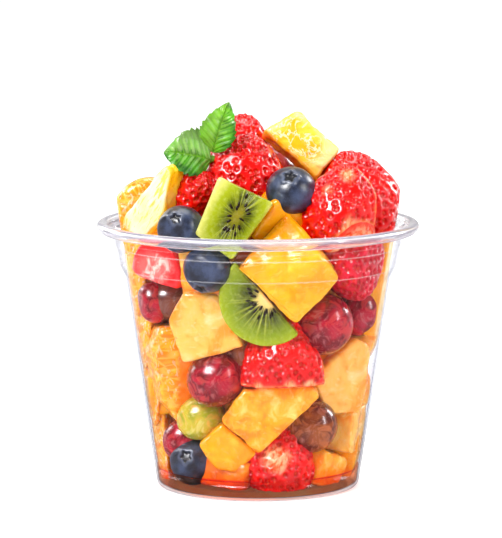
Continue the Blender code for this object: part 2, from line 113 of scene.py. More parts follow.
class Paint:
    """The nodes of one material, or of the surroundings. Its colours are given as on a screen."""

    def __init__(self, name, family="materials"):
        self.owner = getattr(bpy.data, family).new(name)
        self.owner.use_nodes = True
        self.tree = self.owner.node_tree
        self.tree.nodes.clear()

    def node(self, kind, settings=None, sockets=None, output=0):
        """Adds a node: its settings come first, then what each of its sockets holds or takes."""
        made = self.tree.nodes.new("ShaderNode" + kind)
        for name, value in (settings or {}).items():
            if name == "stops":
                ramp = made.color_ramp
                for _ in range(len(value) - len(ramp.elements)):
                    ramp.elements.new(0.5)
                for element, (place, colour) in zip(ramp.elements, value):
                    element.position = place
                    element.color = (*linear(colour), 1.0)
            else:
                setattr(made, name, value)
        for name, value in (sockets or {}).items():
            if isinstance(value, Wire):
                self.tree.links.new(value.socket, made.inputs[name])
            elif made.inputs[name].type == "RGBA":
                made.inputs[name].default_value = (*linear(value), 1.0)
            else:
                made.inputs[name].default_value = value
        return Wire(self, made.outputs[output])

    def mark(self, name, output="Fac"):
        """What a piece's own marks say at each point: its place on the piece, a seed, a cut and so on."""
        return self.node("Attribute", {"attribute_name": name}, output=output)

    def scaled(self, where, by):
        return self.node("VectorMath", {"operation": "MULTIPLY"}, {0: where, 1: by})

    def length(self, where):
        return self.node("VectorMath", {"operation": "LENGTH"}, {0: where}, "Value")

    def along(self, where, axis):
        return self.node("SeparateXYZ", {}, {"Vector": where}, axis)

    def place(self, stretch=(1, 1, 1)):
        """The place on the piece itself, in millimetres, stretched if asked."""
        return self.scaled(self.mark("own_place", "Vector"), stretch)

    def mix(self, factor, first, second):
        return self.node("Mix", {"data_type": "RGBA"}, {0: factor, 6: first, 7: second}, output=2)

    def over(self, colour, *coats):
        """Lays colours over one. Each coat has a value, where it begins and is full, a share, a colour."""
        for value, low, high, share, coat in coats:
            colour = self.mix(self.step(value, low, high) * share, colour, coat)
        return colour

    def blend(self, factor, first, second):
        return self.node("MixShader", {}, {0: factor, 1: first, 2: second})

    def noise(self, where, scale, detail=2.0, roughness=0.5, distortion=0.0):
        values = {"Vector": where, "Scale": scale, "Detail": detail, "Roughness": roughness}
        return self.node("TexNoise", {}, {**values, "Distortion": distortion})

    def step(self, value, low, high):
        """0 below low, 1 above high, smooth in between. Low may be the larger, which turns it round."""
        if low > high:
            return 1 - self.step(value, high, low)
        settings = {"interpolation_type": "SMOOTHSTEP"}
        return self.node("MapRange", settings, {"Value": value, "From Min": low, "From Max": high})

    def bump(self, height, distance, strength=1.0):
        return self.node("Bump", {}, {"Height": height, "Distance": distance, "Strength": strength}, "Normal")

    def fruit(self, colour, roughness, relief, **wet):
        """Fruit flesh or skin: light goes a little way in, and a film of juice lies on top."""
        looks = {
            "Base Color": colour,
            "Roughness": roughness,
            "Normal": relief,
            "Coat Weight": wet.get("film", 0.5),
            "Coat Roughness": wet.get("film_roughness", 0.08),
            "Coat IOR": 1.5,
            "Specular IOR Level": wet.get("gloss", 0.5),
            "IOR": 1.42,
            "Subsurface Weight": wet.get("soft", 0.3),
            "Subsurface Radius": wet.get("reach", (1.0, 0.35, 0.12)),
            "Subsurface Scale": wet.get("depth", 2.5) * MM,
        }
        return self.node("BsdfPrincipled", {}, {k: v for k, v in looks.items() if v is not None})

    def done(self, shader, end="OutputMaterial"):
        last = self.tree.nodes.new("ShaderNode" + end)
        self.tree.links.new(shader.socket, last.inputs["Surface"])
        return self.owner


# The surroundings are white. What a glossy surface mirrors of them is bright behind the cup and
# dark in front of it, so wet edges shine and the faces that look at the camera keep their colour.
SKY_SEEN = 1.0
SKY_LIGHT = 0.72
SKY_BEHIND = 0.55
SKY_IN_FRONT = 0.07
FLOOR_GLOW = 0.32
WHITE = (255, 255, 255)
sky = Paint("surroundings", "worlds")
sky_way = sky.along(sky.node("TexCoord", output="Generated"), "Y")
sky_mirrored = sky.step(sky_way, 0.0, 0.6) * (SKY_BEHIND - SKY_IN_FRONT) + SKY_IN_FRONT
sky_plain = sky.node("LightPath", output="Is Camera Ray") * (SKY_SEEN - SKY_LIGHT) + SKY_LIGHT
sky_strength = sky.node("LightPath", output="Is Glossy Ray") * (sky_mirrored - sky_plain) + sky_plain
sky_light = sky.node("Background", {}, {"Color": WHITE, "Strength": sky_strength})
scene.world = sky.done(sky_light, "OutputWorld")

# The three panels are broad and light nothing: they only shine back from what is wet or glossy.
LIT_POINT = Vector((0.0, 0.0, 0.06))
SOFT_BOXES = [
    # name, place, width, height, watts, whether it lights as well
    ("key_box", (-0.56, -0.66, 0.76), 0.40, 0.40, 10.0, True),
    ("side_box", (0.80, -0.42, 0.42), 0.14, 0.45, 3.0, True),
    ("top_box", (0.10, 0.25, 0.95), 0.60, 0.40, 3.5, True),
    ("back_box", (-0.50, 0.85, 0.35), 0.30, 0.50, 1.5, True),
    ("sheen_panel", (-0.62, -0.74, 0.92), 0.80, 0.60, 19.0, False),
    ("right_panel", (0.95, 0.60, 0.60), 0.40, 0.50, 9.0, False),
    ("left_panel", (-0.95, 0.60, 0.55), 0.40, 0.50, 5.0, False),
]
for box_name, box_at, box_width, box_height, box_watts, box_lights in SOFT_BOXES:
    light_data = bpy.data.lights.new(box_name, "AREA")
    light_data.shape = "RECTANGLE"
    light_data.size = box_width
    light_data.size_y = box_height
    light_data.energy = box_watts
    light = bpy.data.objects.new(box_name, light_data)
    light.location = box_at
    light.visible_diffuse = box_lights
    light.rotation_euler = (LIT_POINT - Vector(box_at)).to_track_quat("-Z", "Y").to_euler()
    scene.collection.objects.link(light)

FLOOR_RADIUS = 6.0
floor_bm = bmesh.new()
bmesh.ops.create_circle(floor_bm, cap_ends=True, segments=96, radius=FLOOR_RADIUS)
floor_mesh = bpy.data.meshes.new("floor")
floor_bm.to_mesh(floor_mesh)
floor_bm.free()
floor = bpy.data.objects.new("floor", floor_mesh)
scene.collection.objects.link(floor)
floor_paint = Paint("white_floor")
floor_at = floor_paint.node("TexCoord", output="Object")
floor_mottle = floor_paint.noise(floor_at, 3.0, 3.0)
floor_colour = floor_paint.mix(floor_mottle, (250, 250, 251), (254, 254, 254))
floor_look = {"Base Color": floor_colour, "Roughness": 0.9, "Specular IOR Level": 0.0}
floor_look.update({"Emission Color": WHITE, "Emission Strength": FLOOR_GLOW})
floor_bright = floor_paint.node("BsdfPrincipled", {}, floor_look)
floor_dim = floor_paint.node("BsdfDiffuse", {}, {"Color": (150, 150, 152)})
floor_in_front = floor_paint.step(floor_paint.along(floor_at, "Y"), 0.35, 0.08)
floor_mirrored = floor_paint.node("LightPath", output="Is Glossy Ray") * floor_in_front
floor_mesh.materials.append(floor_paint.done(floor_paint.blend(floor_mirrored, floor_bright, floor_dim)))


# The cup: one thin moulded sheet of clear plastic, with a foot ring, plain tapering wall, three
# stacking steps near the top and a rolled bead for a rim. It is turned as one closed line.

RIM_RADIUS = 49.0
RIM_HEIGHT = 81.0
BEAD_WIDTH = 3.6
BEAD_HEIGHT = 3.3
WALL = 0.5
BASE_RADIUS = 30.8
BASE_CORNER = 1.4
FLOOR_RAISED = 1.6
TAPER_TOP_RADIUS = 40.45
TAPER_TOP_HEIGHT = 64.4
CUP_FOOT = [(0.0, FLOOR_RAISED), (24.8, FLOOR_RAISED), (26.2, 0.5), (27.0, 0.0), (29.4, 0.0), (30.3, 0.4)]
CUP_WALL = [(BASE_RADIUS, BASE_CORNER), (TAPER_TOP_RADIUS, TAPER_TOP_HEIGHT)]
CUP_STEPS = [(41.0, 65.5), (42.1, 67.6), (42.9, 72.2), (43.5, 73.6), (44.05, 77.0)]
CUP_TURNS = 192
BEAD_POINTS = 26
BEAD_FROM = -125
BEAD_SWEEP = 305
CORNER_EASE = 0.5


def eased(line, reach):
    """Rounds the inner corners of a line, taking at most reach from each side of them."""
    smooth = [line[0]]
    for before, corner, after in zip(line, line[1:], line[2:]):
        here = Vector(corner)
        back, forth = Vector(before) - here, Vector(after) - here
        start = here + back.normalized() * min(reach, back.length * 0.4)
        end = here + forth.normalized() * min(reach, forth.length * 0.4)
        for share in (0.0, 0.25, 0.5, 0.75, 1.0):
            turned = start.lerp(here, share).lerp(here.lerp(end, share), share)
            smooth.append(tuple(turned))
    return smooth + [line[-1]]


def spun(line, turns):
    """A solid of revolution from a line of (radius, height) in millimetres."""
    bm = bmesh.new()
    corners = [bm.verts.new((radius * MM, 0.0, height * MM)) for radius, height in line]
    edges = [bm.edges.new(pair) for pair in zip(corners, corners[1:])]
    whole = {"axis": (0, 0, 1), "cent": (0, 0, 0), "angle": 2 * math.pi, "steps": turns, "use_merge": True}
    bmesh.ops.spin(bm, geom=corners + edges, **whole)
    bmesh.ops.remove_doubles(bm, verts=bm.verts, dist=0.002 * MM)
    bmesh.ops.recalc_face_normals(bm, faces=bm.faces)
    return bm


def as_mesh(bm, name):
    mesh = bpy.data.meshes.new(name)
    bm.to_mesh(mesh)
    bm.free()
    mesh.shade_smooth()
    return mesh


def add_piece(name, mesh, material, slot, *nodes):
    """Puts a finished mesh into the scene, on the cup's one body."""
    mesh.materials.clear()
    mesh.materials.append(material)
    piece = bpy.data.objects.new(name, mesh)
    scene.collection.objects.link(piece)
    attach(piece, "root")
    if nodes:
        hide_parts(*nodes)
    return piece


bead_middle = (RIM_RADIUS - BEAD_WIDTH / 2, RIM_HEIGHT - BEAD_HEIGHT / 2)
bead_line = []
for bead_step in range(BEAD_POINTS + 1):
    bead_angle = math.radians(BEAD_FROM + BEAD_SWEEP * bead_step / BEAD_POINTS)
    bead_out = BEAD_WIDTH / 2 * math.cos(bead_angle)
    bead_up = BEAD_HEIGHT / 2 * math.sin(bead_angle)
    bead_line.append((bead_middle[0] + bead_out, bead_middle[1] + bead_up))
wall_inside = [(radius - WALL, height) for radius, height in reversed(CUP_WALL + CUP_STEPS)]
floor_inside = [(29.1, 0.8), (27.2, 0.6), (25.2, FLOOR_RAISED + WALL), (0.0, FLOOR_RAISED + WALL)]
cup_outside = eased(CUP_FOOT + CUP_WALL + CUP_STEPS, CORNER_EASE)
cup_line = cup_outside + bead_line + eased(wall_inside + floor_inside, CORNER_EASE)

plastic = Paint("clear_plastic")
plastic_at = plastic.node("TexCoord", output="Object")
plastic_height = plastic.along(plastic_at, "Z")
plastic_ripple = plastic.noise(plastic.scaled(plastic_at, (1, 1, 0.25)), 60.0, 2.0)
plastic_relief = plastic.bump(plastic_ripple, 0.15 * MM, 0.5)
plastic_shine = {"Color": WHITE, "Roughness": 0.06, "Normal": plastic_relief}
plastic_gloss = plastic.node("BsdfAnisotropic", {}, plastic_shine)
plastic_facing = plastic.node("LayerWeight", {}, {"Blend": 0.5, "Normal": plastic_relief}, "Facing")
plastic_clear = plastic.node("BsdfTransparent", {}, {"Color": (253, 253, 254)})
plastic_grey = plastic.node("BsdfTransparent", {}, {"Color": (186, 186, 196)})
plastic_through = plastic.blend(plastic_facing**6, plastic_clear, plastic_grey)
plastic_wall = plastic.blend(plastic_facing**8 * 0.5 + 0.016, plastic_through, plastic_gloss)

# The upper edges of the stacking steps catch the light: a painted highlight of thin pale opaque bands. How
# low, how high, how bright.
STEP_LINES = [(67.0, 67.6, 0.13), (73.4, 74.0, 0.15), (75.5, 75.9, 0.05)]
line_look = {"Base Color": (240, 238, 238), "Roughness": 0.12, "Coat Weight": 0.5}
step_line_highlight = plastic.node("BsdfPrincipled", {}, line_look)
plastic_line = 0.0
for line_low, line_high, line_strength in STEP_LINES:
    line_middle = (line_low + line_high) / 2
    line_rise = plastic.step(plastic_height, line_low * MM, line_middle * MM)
    line_fall = plastic.step(plastic_height, line_high * MM, line_middle * MM)
    plastic_line = plastic_line + line_rise * line_fall * line_strength
plastic_wall = plastic.blend(plastic_line, plastic_wall, step_line_highlight)

# The bead is clear, with a painted reflection streaked pale grey and white round the rim: heavy on top and at
# its foot, clearer between.
plastic_radius = plastic.length(plastic.scaled(plastic_at, (1, 1, 0)))
plastic_round = plastic.node("CombineXYZ", {}, {"X": plastic_radius, "Y": plastic_height})
plastic_streaks = plastic.noise(plastic_round, 1500.0, 2.0)
glass_look = {"Base Color": (252, 252, 253), "Roughness": 0.05, "IOR": 1.30}
bead_glass = plastic.node("BsdfPrincipled", {}, {**glass_look, "Transmission Weight": 1.0})
bead_streak = plastic.step(plastic_streaks, 0.36, 0.64)
bead_reflection_colour = plastic.mix(bead_streak, (140, 136, 152), (244, 244, 248))
bead_reflection_look = {"Base Color": bead_reflection_colour, "Roughness": 0.14, "Coat Weight": 0.6}
bead_painted_reflection = plastic.node("BsdfPrincipled", {}, bead_reflection_look)
BEAD_TOP = (78.7 * MM, 79.5 * MM)
BEAD_FOOT = (78.2 * MM, 77.95 * MM)
BEAD_STARTS = (76.9 * MM, 77.4 * MM)
bead_reflection_share = plastic.step(plastic_height, *BEAD_TOP) * 0.42 + plastic.step(plastic_height, *BEAD_FOOT) * 0.50
plastic_bead = plastic.blend(bead_reflection_share + 0.16, bead_glass, bead_painted_reflection)
plastic_bead = plastic.blend(plastic.node("LightPath", output="Is Shadow Ray"), plastic_bead, plastic_clear)
plastic_all = plastic.blend(plastic.step(plastic_height, *BEAD_STARTS), plastic_wall, plastic_bead)
cup_mesh = as_mesh(spun(cup_line, CUP_TURNS), "clear_cup")
add_piece("clear_cup", cup_mesh, plastic.done(plastic_all), "clear_plastic", "cup")


# The juice: a shallow pool on the cup's floor and in the groove of its foot ring. It is clear and
# orange-red, and its edge climbs a little up the wall. It is turned as one closed line, as the cup is.

JUICE_TURNS = 96
JUICE_HEIGHT = 5.6
JUICE_UNDER = [(0.0, 2.2), (25.2, 2.2), (27.2, 0.8), (29.0, 1.0), (30.1, 1.6), (30.75, JUICE_HEIGHT + 0.7)]
JUICE_OVER = [(30.2, JUICE_HEIGHT + 0.1), (28.8, JUICE_HEIGHT), (0.0, JUICE_HEIGHT)]
juice = Paint("juice")
juice_cloud = juice.noise(juice.node("TexCoord", output="Object"), 90.0, 2.0)
juice_tint = juice.mix(juice.step(juice_cloud, 0.3, 0.7), (255, 176, 132), (255, 206, 166))
juice_through = juice.node("BsdfTransparent", {}, {"Color": juice_tint})
juice_gloss = juice.node("BsdfAnisotropic", {}, {"Color": WHITE, "Roughness": 0.05})
juice_facing = juice.node("LayerWeight", {}, {"Blend": 0.5}, "Facing")
juice_finish = juice.done(juice.blend(juice_facing**5 * 0.4 + 0.02, juice_through, juice_gloss))
juice_mesh = as_mesh(spun(JUICE_UNDER + JUICE_OVER, JUICE_TURNS), "juice")
add_piece("juice", juice_mesh, juice_finish, "mixed_fruit", "fruit_heap")


# The core of the heap: the pulp behind the pieces that show, a turned body with a lumpy skin. It is
# wet and orange with red patches, so it looks like more fruit in the gaps between the pieces.

TAPER = (TAPER_TOP_RADIUS - BASE_RADIUS) / (TAPER_TOP_HEIGHT - BASE_CORNER)
CORE_INSET = 12.5
CORE_HEIGHTS = [3.5, 16.0, 30.0, 42.0, 54.0, 64.0, 72.0]
CORE_TOP = 79.0
CORE_TURNS = 48
CORE_LUMPS = 0.9
FRUIT_GAP = 0.4


def points_of(mesh):
    flat = np.empty(len(mesh.vertices) * 3)
    mesh.vertices.foreach_get("co", flat)
    return flat.reshape(-1, 3)


def normals_of(mesh):
    flat = np.empty(len(mesh.vertices) * 3)
    mesh.vertex_normals.foreach_get("vector", flat)
    return flat.reshape(-1, 3)


def set_points(mesh, points):
    mesh.vertices.foreach_set("co", np.ascontiguousarray(points, dtype=np.float32).ravel())
    mesh.update()


def waves(points, length, seed, count=16):
    """A smooth uneven height at each point, about 1 either way, with hills about length across."""
    chance = np.random.default_rng(seed)
    ways = chance.normal(size=(count, 3))
    ways /= np.linalg.norm(ways, axis=1)[:, None]
    ways *= (math.pi / length * chance.uniform(0.6, 1.5, count))[:, None]
    start = chance.uniform(0, 2 * math.pi, count)
    return np.sin(points @ ways.T + start).sum(axis=1) / math.sqrt(count)


def within_wall(points, ease=0.0, gap=FRUIT_GAP):
    """Presses points that lie outside the inner wall or under the cup's floor back onto them."""
    points[:, 2] = np.maximum(points[:, 2], (FLOOR_RAISED + WALL + gap) * MM)
    most = (BASE_RADIUS - WALL - gap - TAPER * BASE_CORNER) * MM + TAPER * points[:, 2]
    radius = np.maximum(np.hypot(points[:, 0], points[:, 1]), 1e-9)
    if ease:
        room = ease * MM
        over = np.maximum(radius - (most - room), 0.0)
        most = np.where(over > 0, most - room * np.exp(-over / room), radius)
    points[:, :2] *= np.minimum(1.0, most / radius)[:, None]
    return points


core_line = [(0.0, CORE_HEIGHTS[0])]
core_line += [(BASE_RADIUS - WALL + TAPER * height - CORE_INSET, height) for height in CORE_HEIGHTS]
core_line += [(core_line[-1][0] * 0.7, CORE_TOP - 1.5), (0.0, CORE_TOP)]
core_bm = spun(core_line, CORE_TURNS)
bmesh.ops.subdivide_edges(core_bm, edges=core_bm.edges[:], cuts=2, use_grid_fill=True)
core_mesh = as_mesh(core_bm, "heap_core")
core_points = points_of(core_mesh)
core_points += normals_of(core_mesh) * (waves(core_points, 7 * MM, 3) * CORE_LUMPS * MM)[:, None]
set_points(core_mesh, core_points)

pulp = Paint("pulp")
pulp_at = pulp.node("TexCoord", output="Object")
pulp_colour = pulp.over(
    (214, 96, 14),
    (pulp.noise(pulp_at, 90.0, 2.0), 0.40, 0.60, 1, (250, 150, 20)),
    (pulp.noise(pulp_at, 60.0, 1.0), 0.58, 0.72, 1, (150, 20, 16)),
)
pulp_relief = pulp.bump(pulp.noise(pulp_at, 500.0, 3.0), 0.4 * MM, 0.6)
pulp_finish = pulp.done(pulp.fruit(pulp_colour, 0.3, pulp_relief, film=0.7))
add_piece("heap_core", core_mesh, pulp_finish, "mixed_fruit", "fruit_heap")


# The strawberries: hulled, deep red and glossy, each seed in a pit of its own. A few are cut, and
# show pale flesh with red edges. Each is a ball shaped into a berry, pitted and then cut flat.

SEED_SPACING = 2.7
SEED_HALF_WIDTH = 0.30
SEED_HALF_LENGTH = 0.50
SEED_RISE = 0.26
PIT_RADIUS = 0.84
PIT_DEPTH = 0.95
PRESS_EASE = 1.0
GOLDEN_TURN = math.pi * (3 - math.sqrt(5))


def ball(name, subdivisions):
    bm = bmesh.new()
    bmesh.ops.create_icosphere(bm, subdivisions=subdivisions, radius=1.0)
    return as_mesh(bm, name)


def mark_points(mesh, **marks):
    """Writes a value or a place for each point under each name, by which the materials read it."""
    for name, values in marks.items():
        kind, field = ("FLOAT", "value") if values.ndim == 1 else ("FLOAT_VECTOR", "vector")
        marked = mesh.attributes.new(name, kind, "POINT")
        marked.data.foreach_set(field, np.ascontiguousarray(values, dtype=np.float32).ravel())


def evenly_round(count, seed):
    """Directions spread over a ball in a spiral, each a little off its place."""
    steps = np.arange(count) + 0.5
    up = 1 - 2 * steps / count
    turn = steps * GOLDEN_TURN
    flat = np.sqrt(1 - up * up)
    spread = np.stack([flat * np.cos(turn), flat * np.sin(turn), up], axis=1)
    spread += np.random.default_rng(seed).normal(scale=0.042, size=spread.shape)
    return spread / np.linalg.norm(spread, axis=1)[:, None]


def berry_form(unit, radius, length, point):
    """Turns directions on a ball into points of a hulled strawberry, its tip at +z, in metres."""
    height = unit[:, 2]
    wide = radius * (1 - 0.27 * height - 0.06 * height**2)
    round_width = np.sqrt(np.maximum(1 - height**2, 0.0))
    wide = np.where(height > 0, wide * np.maximum(round_width, 1e-6) ** (2 * point), wide)
    up = np.maximum(height, -0.86) * length / 2
    return np.stack([unit[:, 0] * wide, unit[:, 1] * wide, up], axis=1) * MM


def set_in_place(mesh, at, turn=0.0, tilt=0.0, roll=0.0):
    """Turns a piece about z, leans it about x, rolls it about y, and moves it to its place in mm.
    It is pressed on the wall first, and its fine relief is raised after that."""
    angles = Euler([math.radians(tilt), math.radians(roll), math.radians(turn)], "ZXY")
    points = points_of(mesh) @ np.array(angles.to_matrix()).T + np.array(at) * MM
    points = within_wall(points, ease=PRESS_EASE)
    relief = mesh.attributes.get("relief")
    if relief:
        lift = np.empty(len(points))
        relief.data.foreach_get("value", lift)
        set_points(mesh, points)
        points = within_wall(points + normals_of(mesh) * (lift * MM)[:, None])
        mesh.attributes.remove(mesh.attributes["relief"])
    set_points(mesh, points)
    return mesh


def strawberry_mesh(name, radius, length, seed, detail=6, point=0.0, cuts=(), pale=()):
    """A pitted berry. Each cut takes off one side, and is a place in mm and a direction. Each pale
    patch of its skin is a place and a reach in mm."""
    mesh = ball(name, detail)
    unit = points_of(mesh)
    points = berry_form(unit, radius, length, point)
    area = 4 * math.pi * (radius * length / 2) * 0.92
    seeds = evenly_round(int(area / (0.87 * SEED_SPACING**2)), seed)
    seed_points = berry_form(seeds, radius, length, point)
    offsets = points[:, None, :].astype(np.float32) - seed_points[None].astype(np.float32)
    away = np.linalg.norm(offsets, axis=2)
    nearest = away.argmin(axis=1)
    near = away.min(axis=1) / MM
    gap = points - seed_points[nearest]
    out = points / np.array([1, 1, (radius / (length / 2)) ** 0.5]) / np.linalg.norm(points, axis=1)[:, None]
    out /= np.linalg.norm(out, axis=1)[:, None]
    side = np.stack([-out[:, 1], out[:, 0], np.zeros(len(out))], axis=1)
    side /= np.maximum(np.linalg.norm(side, axis=1), 1e-6)[:, None]
    down = np.cross(out, side)
    across = (gap * side).sum(axis=1) / MM
    along = (gap * down).sum(axis=1) / MM
    skin = (unit[:, 2] > -0.84).astype(float)
    pit = np.exp(-((near / PIT_RADIUS) ** 3)) * skin
    seed_oval = (across / SEED_HALF_WIDTH) ** 2 + (along / SEED_HALF_LENGTH) ** 2
    seed_shape = np.clip(1 - seed_oval, 0, 1) * skin
    lift = -PIT_DEPTH * pit + SEED_RISE * np.sqrt(seed_shape)
    lift += 0.10 * waves(points, 2.4 * MM, seed + 3) * skin
    points += out * (0.30 * MM * waves(points, 9 * MM, seed + 1))[:, None]
    hull = np.clip((-0.82 - unit[:, 2]) / 0.05, 0, 1)
    rim = np.hypot(points[:, 0], points[:, 1]) / (radius * MM)
    hollow = hull * np.clip(1 - (rim / 0.34) ** 2, 0, 1)
    points[:, 2] += hollow * 0.22 * radius * MM
    cut = np.zeros(len(points))
    cut_edge = np.zeros(len(points))
    for place, normal in cuts:
        facing = np.array(Vector(normal).normalized())
        beyond = (points - np.array(place) * MM) @ facing
        cut = np.maximum(cut, np.clip(beyond / (0.15 * MM), 0, 1))
        cut_edge = np.maximum(cut_edge, np.exp(-((beyond / (0.55 * MM)) ** 2)))
        points -= facing * np.maximum(beyond, 0.0)[:, None]
    lift = np.where(cut > 0.5, 0.12 * waves(points, 2.0 * MM, seed + 2), lift)
    paleness = np.zeros(len(points))
    for place, reach in pale:
        from_patch = np.linalg.norm(points - np.array(place) * MM, axis=1) / (reach * MM)
        paleness = np.maximum(paleness, np.exp(-(from_patch**2)))
    set_points(mesh, points)
    mark_points(
        mesh, relief=lift, own_place=points / MM, pit=pit, seed=np.clip(seed_shape * 2.2, 0, 1),
        cut=cut, cut_edge=cut_edge * (cut < 0.5), hollow=hollow, paleness=paleness,
        tipward=(unit[:, 2] + 1) / 2, from_middle=np.hypot(points[:, 0], points[:, 1]) / (radius * MM),
    )
    return mesh


def strawberry_paint(name, dark, bright, pale_flesh):
    """Skin with pits and a hull hollow painted darker as shade, orange seeds, paler at the hull, and flesh
    where the berry is cut.
    """
    berry = Paint(name)
    place = berry.place()
    mottle = berry.noise(place, 0.16, 3.0)
    skin = berry.mix(berry.step(mottle, 0.35, 0.65), dark, bright)
    # Painted shade: the pits are turned half way to a deep red, as if shade lay in them.
    skin = berry.mix(berry.mark("pit") * 0.5, skin, (150, 0, 2))
    streaks = berry.noise(berry.place((0.5, 0.5, 0.14)), 1.4, 3.0, 0.6)
    fair = berry.mix(berry.step(streaks, 0.36, 0.62), (250, 84, 14), pale_flesh)
    near_hull = berry.step(berry.mark("tipward") + 0.12 * mottle, 0.18, 0.08) * 0.5
    patchy = berry.step(berry.mark("paleness") + 0.7 * (mottle - 0.5), 0.25, 0.85)
    skin = berry.mix(near_hull, skin, (244, 50, 14))
    # Pale patches: the skin's own paler colour, except one on the cut berry, which is a painted highlight.
    skin = berry.mix(patchy, skin, fair)
    skin = berry.mix(berry.mark("seed") * 0.24, skin, (246, 110, 20))
    skin = berry.mix(berry.mark("cut_edge") * 0.65, skin, (255, 150, 84))
    # Painted shade: the hollow left by the hull is darkened to a deep red.
    skin = berry.mix(berry.mark("hollow") ** 0.5, skin, (150, 4, 4))
    edge = berry.step(berry.mark("from_middle") + 0.2 * mottle, 0.78, 1.1)
    flesh = berry.mix(edge, fair, (246, 44, 10))
    colour = berry.mix(berry.mark("cut"), skin, flesh)
    relief = berry.bump(berry.noise(place, 1.6, 2.0), 0.2 * MM, 0.35)
    film = berry.mark("pit") * -0.7 + 1.0
    wet = {"film_roughness": 0.07, "gloss": 0.25, "soft": 0.15, "reach": (1.0, 0.08, 0.04), "depth": 1.2}
    return berry.done(berry.fruit(colour, 0.24, relief, film=film, **wet))


strawberry_finish = strawberry_paint("strawberry", (206, 0, 0), (250, 6, 0), (255, 190, 140))
crimson_berry = strawberry_paint("crimson_strawberry", (186, 0, 28), (222, 8, 44), (244, 130, 140))

CENTRE_CUTS = [((-9.5, -6.0, -11.0), (-0.55, -0.45, -0.7))]
HALF_CUTS = [((6.5, -1.0, 0.0), (0.62, 0.78, 0.05)), ((2.5, -11.5, -4.0), (0.45, -0.60, -0.65))]
# Pale patches on the cut berry: the one near the tip and the low one are its own paler skin; the one at the
# upper left is a painted highlight.
HALF_PALE_AND_HIGHLIGHT = [((0.5, -5.5, 12.6), 3.4), ((-6.5, -8.5, 8.5), 3.2), ((3.0, -12.5, -4.0), 4.6)]
LOW_CUT = [((0, 0, -4.5), (0, 0, -1))]
LOW_PALE = [((3, -13, -5.0), 3.0), ((-8, -11, -5.2), 2.8), ((9, -9, -5.0), 2.8)]
STRAWBERRIES = [
    # name, radius, length, detail, point, cuts, pale, (place, turn, tilt, roll), above the cup
    ("strawberry_centre", 12.7, 26, 7, 0.0, CENTRE_CUTS, (), ((-4.3, -7.5, 95.8), 0, 10, 5), True),
    ("strawberry_cut", 12.6, 29, 7, 0.25, HALF_CUTS, HALF_PALE_AND_HIGHLIGHT, ((25.4, -21.0, 87.2), 0, 6, 4), True),
    ("strawberry_right", 12.8, 30, 7, 0.0, (), (), ((30.1, -1.5, 88.2), 0, -6, -17), True),
    ("strawberry_small", 7.8, 18, 6, 0.0, (), (), ((-18.4, -14.5, 91.2), 0, 124, 213), True),
    ("strawberry_back", 9.6, 23, 6, 0.0, (), (), ((-4.8, 12.5, 101.6), 0, -15, 4), True),
    ("strawberry_low_back", 10.5, 23, 6, 0.0, (), (), ((11.5, 28.0, 88.5), 0, -40, 15), True),
    ("berry_right", 10.6, 21, 6, 0.0, (), (), ((28.4, -17.5, 69.2), 0, 20, 170), False),
    ("berry_mid", 12.6, 34, 7, 0.0, LOW_CUT, LOW_PALE, ((7.0, -24.2, 39.7), 0, 0, 0), False),
    ("berry_bottom", 11.4, 23, 7, 0.0, (), (((-2, -10, 4), 5.0),), ((6.4, -18.3, 11.0), 0, 14, 18), False),
]
for number, (name, radius, length, detail, point, cuts, pale, spot, above) in enumerate(STRAWBERRIES):
    mesh = strawberry_mesh(name, radius, length, 40 + number, detail, point, cuts, pale)
    node = name if above else "fruit_heap"
    finish = crimson_berry if name == "berry_right" else strawberry_finish
    add_piece(name, set_in_place(mesh, *spot), finish, "strawberry", node)


# The blueberries: dark blue under a pale waxy bloom, with a five-pointed crown round a small
# hollow. Each is a ball with the crown pushed in and its lobes raised.


def blueberry_mesh(name, radius, seed):
    mesh = ball(name, 6)
    unit = points_of(mesh)
    bearing = np.arctan2(unit[:, 1], unit[:, 0])
    from_crown = np.arccos(np.clip(unit[:, 2], -1, 1))
    lobes = 0.5 + 0.5 * np.cos(5 * bearing + 0.25 * np.sin(2 * bearing + seed))
    mouth = 0.20 + 0.09 * lobes
    inside = np.clip((mouth - from_crown) / 0.06, 0, 1)
    inside = inside * inside * (3 - 2 * inside)
    collar = np.exp(-(((from_crown - mouth - 0.07) / 0.075) ** 2))
    size = 1 - 0.13 * inside + (0.02 + 0.025 * lobes) * collar
    size += 0.012 * waves(unit, 0.8, seed)
    points = unit * (size * radius * MM)[:, None]
    points[:, 2] *= 0.95
    set_points(mesh, points)
    mark_points(mesh, own_place=points / MM, hollow=inside, collar=collar)
    return mesh


bloom = Paint("blueberry")
bloom_place = bloom.place()
bloom_cloud = bloom.noise(bloom_place, 0.22, 4.0, 0.6)
bloom_fine = bloom.noise(bloom_place, 3.2, 3.0, 0.7)
bloom_cover = bloom.step(bloom_cloud * 0.75 + bloom_fine * 0.25, 0.36, 0.66)
bloom_skin = bloom.mix(bloom_cover, (12, 14, 32), (56, 70, 104))
bloom_skin = bloom.mix(bloom.mark("collar") * 0.45, bloom_skin, (104, 112, 134))
bloom_skin = bloom.mix(bloom.mark("hollow"), bloom_skin, (12, 10, 20))
bloom_relief = bloom.bump(bloom_fine, 0.12 * MM, 0.3)
bloom_gloss = bloom_cover * 0.16 + 0.28
blueberry_finish = bloom.done(
    bloom.fruit(bloom_skin, bloom_gloss, bloom_relief, film=0.35, film_roughness=0.25, soft=0.0, gloss=0.7)
)

